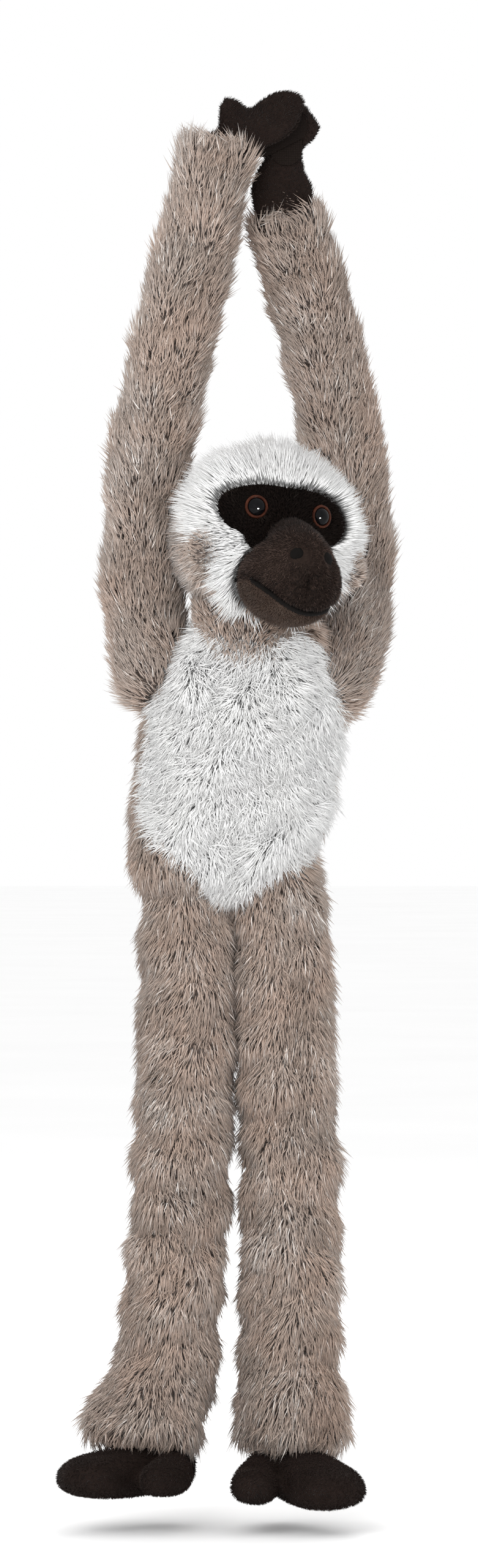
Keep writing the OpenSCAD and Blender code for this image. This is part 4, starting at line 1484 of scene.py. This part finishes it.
def hand(side: Side) -> Mitt:
    """A hand with a thumb and scalloped fingers, flat where the palms meet.

    The outline runs (across, along) the hand, the pillow's height points away from the palm.
    """
    s = side.value
    wrist = pivot(f"wrist_{s}")
    if side is Side.RIGHT:
        rise = 27.0
        outline = np.array([
            [-14, -7], [-15, 3], [-24, 9], [-27, 15], [-22, 20], [-17, 22], [-18, 30], [-17, 40],
            [-12, 47], [-6, 48.5], [-1, 44], [4, 38], [6, 28], [6, 16], [9, 4], [8, -7],
        ], float)
        spine = np.array([[-4, 0], [-6, 36]], float)
    else:
        rise = 87.0
        outline = np.array([
            [-8, -26], [-14, -14], [-17.5, 3], [-12.5, 18], [-13, 30], [-12, 38], [-6, 44], [1, 47],
            [7, 45.5], [12.5, 40], [17, 34], [14.5, 27], [10, 22], [11, 12], [15.5, 1], [12, -12],
            [8, -26],
        ], float)
        spine = np.array([[0, -16], [0, 34]], float)
    c, k = math.cos(math.radians(rise)), math.sin(math.radians(rise))
    away = float(side.sign)
    axes = np.array([[k, 0, -c], [c, 0, k], [0, away, 0]])
    palm = abs(wrist[1]) - 1.3

    def shape(p: Array) -> Array:
        """Flattens the palm's side where it meets the other palm, and cups the fingers a little."""
        p = p.copy()
        p[:, 2] = np.maximum(p[:, 2], -palm + 0.15 * np.minimum(p[:, 2] + palm, 0))
        p[:, 2] += 2.2 * smoothstep(30, 50, p[:, 1]) * (p[:, 2] > 0)
        return p

    nodes = [f"{part}_{s}" for part in ("hand_back", "hand_palm", "thumb")]
    return Mitt(f"hand_{s}", [Pillow(outline, spine, 9.0)], wrist, axes, f"hand_{s}", nodes,
                f"hand_stuffing_{s}", axes[1], shape)


def foot(side: Side) -> Mitt:
    """A flat slipper of a foot with a big toe that stands off on the inner side.

    The outline runs (inwards, forwards) from the ankle.
    """
    s = side.value
    ankle = pivot(f"ankle_{s}")
    inner = -side.sign
    turned = -30.0 if side is Side.RIGHT else 12.0
    droop = 1.0 if side is Side.RIGHT else 6.0
    sole = np.array([
        [0, -23], [-13, -18], [-19, -2], [-24, 18], [-29, 36], [-29, 52], [-20, 63], [-6, 66], [5, 60],
        [10, 46], [12, 30], [13, 12], [12, -14],
    ], float)
    toe = np.array([
        [8, -6], [16, -4], [25, 10], [33, 26], [37, 40], [33, 51], [25, 54], [17, 48], [12, 34],
        [8, 16], [5, 4],
    ], float)
    pillows = [Pillow(sole, np.array([[0, -6], [-7, 42]], float), 25.0, rows=14),
               Pillow(toe, np.array([[13, 4], [26, 40]], float), 19.0, rows=14)]
    rotation = turn("z", turned)
    axes = np.array([rotation @ vec(inner, 0, 0), rotation @ vec(0, -1, 0), vec(0, 0, 1)])

    def shape(p: Array) -> Array:
        """Flattens the sole, thins the toes, and lets the front of the foot hang."""
        p = p.copy()
        front = smoothstep(5, 60, p[:, 1])
        p[:, 2] *= 1.0 - 0.12 * front
        p[:, 2] = np.where(p[:, 2] < 0, 0.74 * p[:, 2], p[:, 2])
        p[:, 2] = np.maximum(p[:, 2], -9.4)
        p[:, 2] -= droop * smoothstep(-5, 66, p[:, 1])
        return p

    nodes = [f"{part}_{s}" for part in ("foot_top", "foot_sole", "big_toe")]
    return Mitt(f"foot_{s}", pillows, ankle + vec(0, 0, -8.0), axes, f"foot_{s}", nodes,
                f"foot_stuffing_{s}", axes[1] + vec(0, 0, -0.3), shape, voxel=3.0, cap=4.0)


# ---------------------------------------------------------------- CAD pieces that stay, and the scene


def dress_cad(finishes: Wardrobe) -> None:
    """Gives the CAD pieces that stay their finishes."""
    kept = {"hook_patch": finishes.hooks, "loop_patch": finishes.loops,
            "eye_washer_right": finishes.washer, "eye_washer_left": finishes.washer}
    for name, finish in kept.items():
        data = frame["nodes"][name].data
        data.materials.clear()
        data.materials.append(finish)
        LOG.info("%s: CAD piece kept", name)


@dataclass
class Studio:
    """A pale floor, soft light all round and a long lens at the height of the toy's middle."""

    floor_z: float = -0.672
    centre: Array = field(default_factory=lambda: vec(-0.00705, 0, -0.309))
    distance: float = 3.2
    shown_height: float = 0.768

    def build(self) -> None:
        """Makes the floor, the lights and the camera."""
        bpy.context.scene.view_settings.view_transform = "Standard"
        self.add_floor()
        self.add_light("key_light", vec(-0.9, -2.0, 0.7), 1.6, 32.0).visible_glossy = False
        self.add_light("fill_light", vec(1.5, -1.6, -0.1), 1.4, 9.0).visible_glossy = False
        catch = self.add_light("catch_light", vec(1.2, -2.0, -0.7), 0.5, 700.0)
        catch.visible_diffuse = False
        catch.light_linking.receiver_collection = bpy.data.collections.new(SHINY)
        self.add_light("rim_light", vec(0.3, 1.6, 1.2), 1.2, 12.0)
        world = bpy.data.worlds.new("studio")
        world.use_nodes = True
        world.node_tree.nodes["Background"].inputs["Color"].default_value = (1.0, 1.0, 1.0, 1.0)
        world.node_tree.nodes["Background"].inputs["Strength"].default_value = 1.0
        bpy.context.scene.world = world
        lens = bpy.data.cameras.new("camera")
        lens.sensor_fit = "VERTICAL"
        lens.sensor_height = 36.0
        lens.lens = lens.sensor_height * self.distance / self.shown_height
        lens.clip_end = 50.0
        camera = bpy.data.objects.new("camera", lens)
        camera.location = self.centre - vec(0, self.distance, 0)
        camera.rotation_euler = (math.radians(90), 0, 0)
        bpy.context.scene.collection.objects.link(camera)
        bpy.context.scene.camera = camera

    def add_floor(self) -> None:
        """A wide square floor under the feet, in a pale matt finish with a faint mottle."""
        h = 20.0 / MM
        z = self.floor_z / MM
        corners = np.array([[-h, -h, z], [h, -h, z], [h, h, z], [-h, h, z]])
        material, tree, shader = new_material("floor_paper", 0.9)
        colour = ramp(tree, noise(tree, 3.0), [(0.3, (0.955, 0.955, 0.955)), (0.7, (0.98, 0.98, 0.98))])
        tree.links.new(colour, shader.inputs["Base Color"])
        make_piece("floor", corners, np.array([[0, 1, 2], [0, 2, 3]]), material)

    def add_light(self, name: str, place: Array, size: float, power: float) -> Piece:
        """A soft square lamp that looks at the toy's middle."""
        data = bpy.data.lights.new(name, "AREA")
        data.size = size
        data.energy = power
        lamp = bpy.data.objects.new(name, data)
        lamp.location = place
        look = self.centre - place
        lamp.rotation_euler = (math.acos(-look[2] / np.linalg.norm(look)), 0, math.atan2(-look[0], look[1]))
        bpy.context.scene.collection.objects.link(lamp)
        return lamp


def main() -> None:
    """Builds the toy and the studio."""
    logging.basicConfig(level=logging.INFO, format="%(name)s %(message)s")
    Studio().build()
    finishes = Wardrobe()
    dress_cad(finishes)
    Trunk().build(finishes)
    Neck().build(finishes)
    Head().build(finishes)
    for i, side in enumerate(Side):
        arm(side).build(finishes)
        leg(side).build(finishes)
        hand(side).build(finishes, 500 + 10 * i)
        foot(side).build(finishes, 540 + 10 * i)


if __name__ == "__main__":
    main()
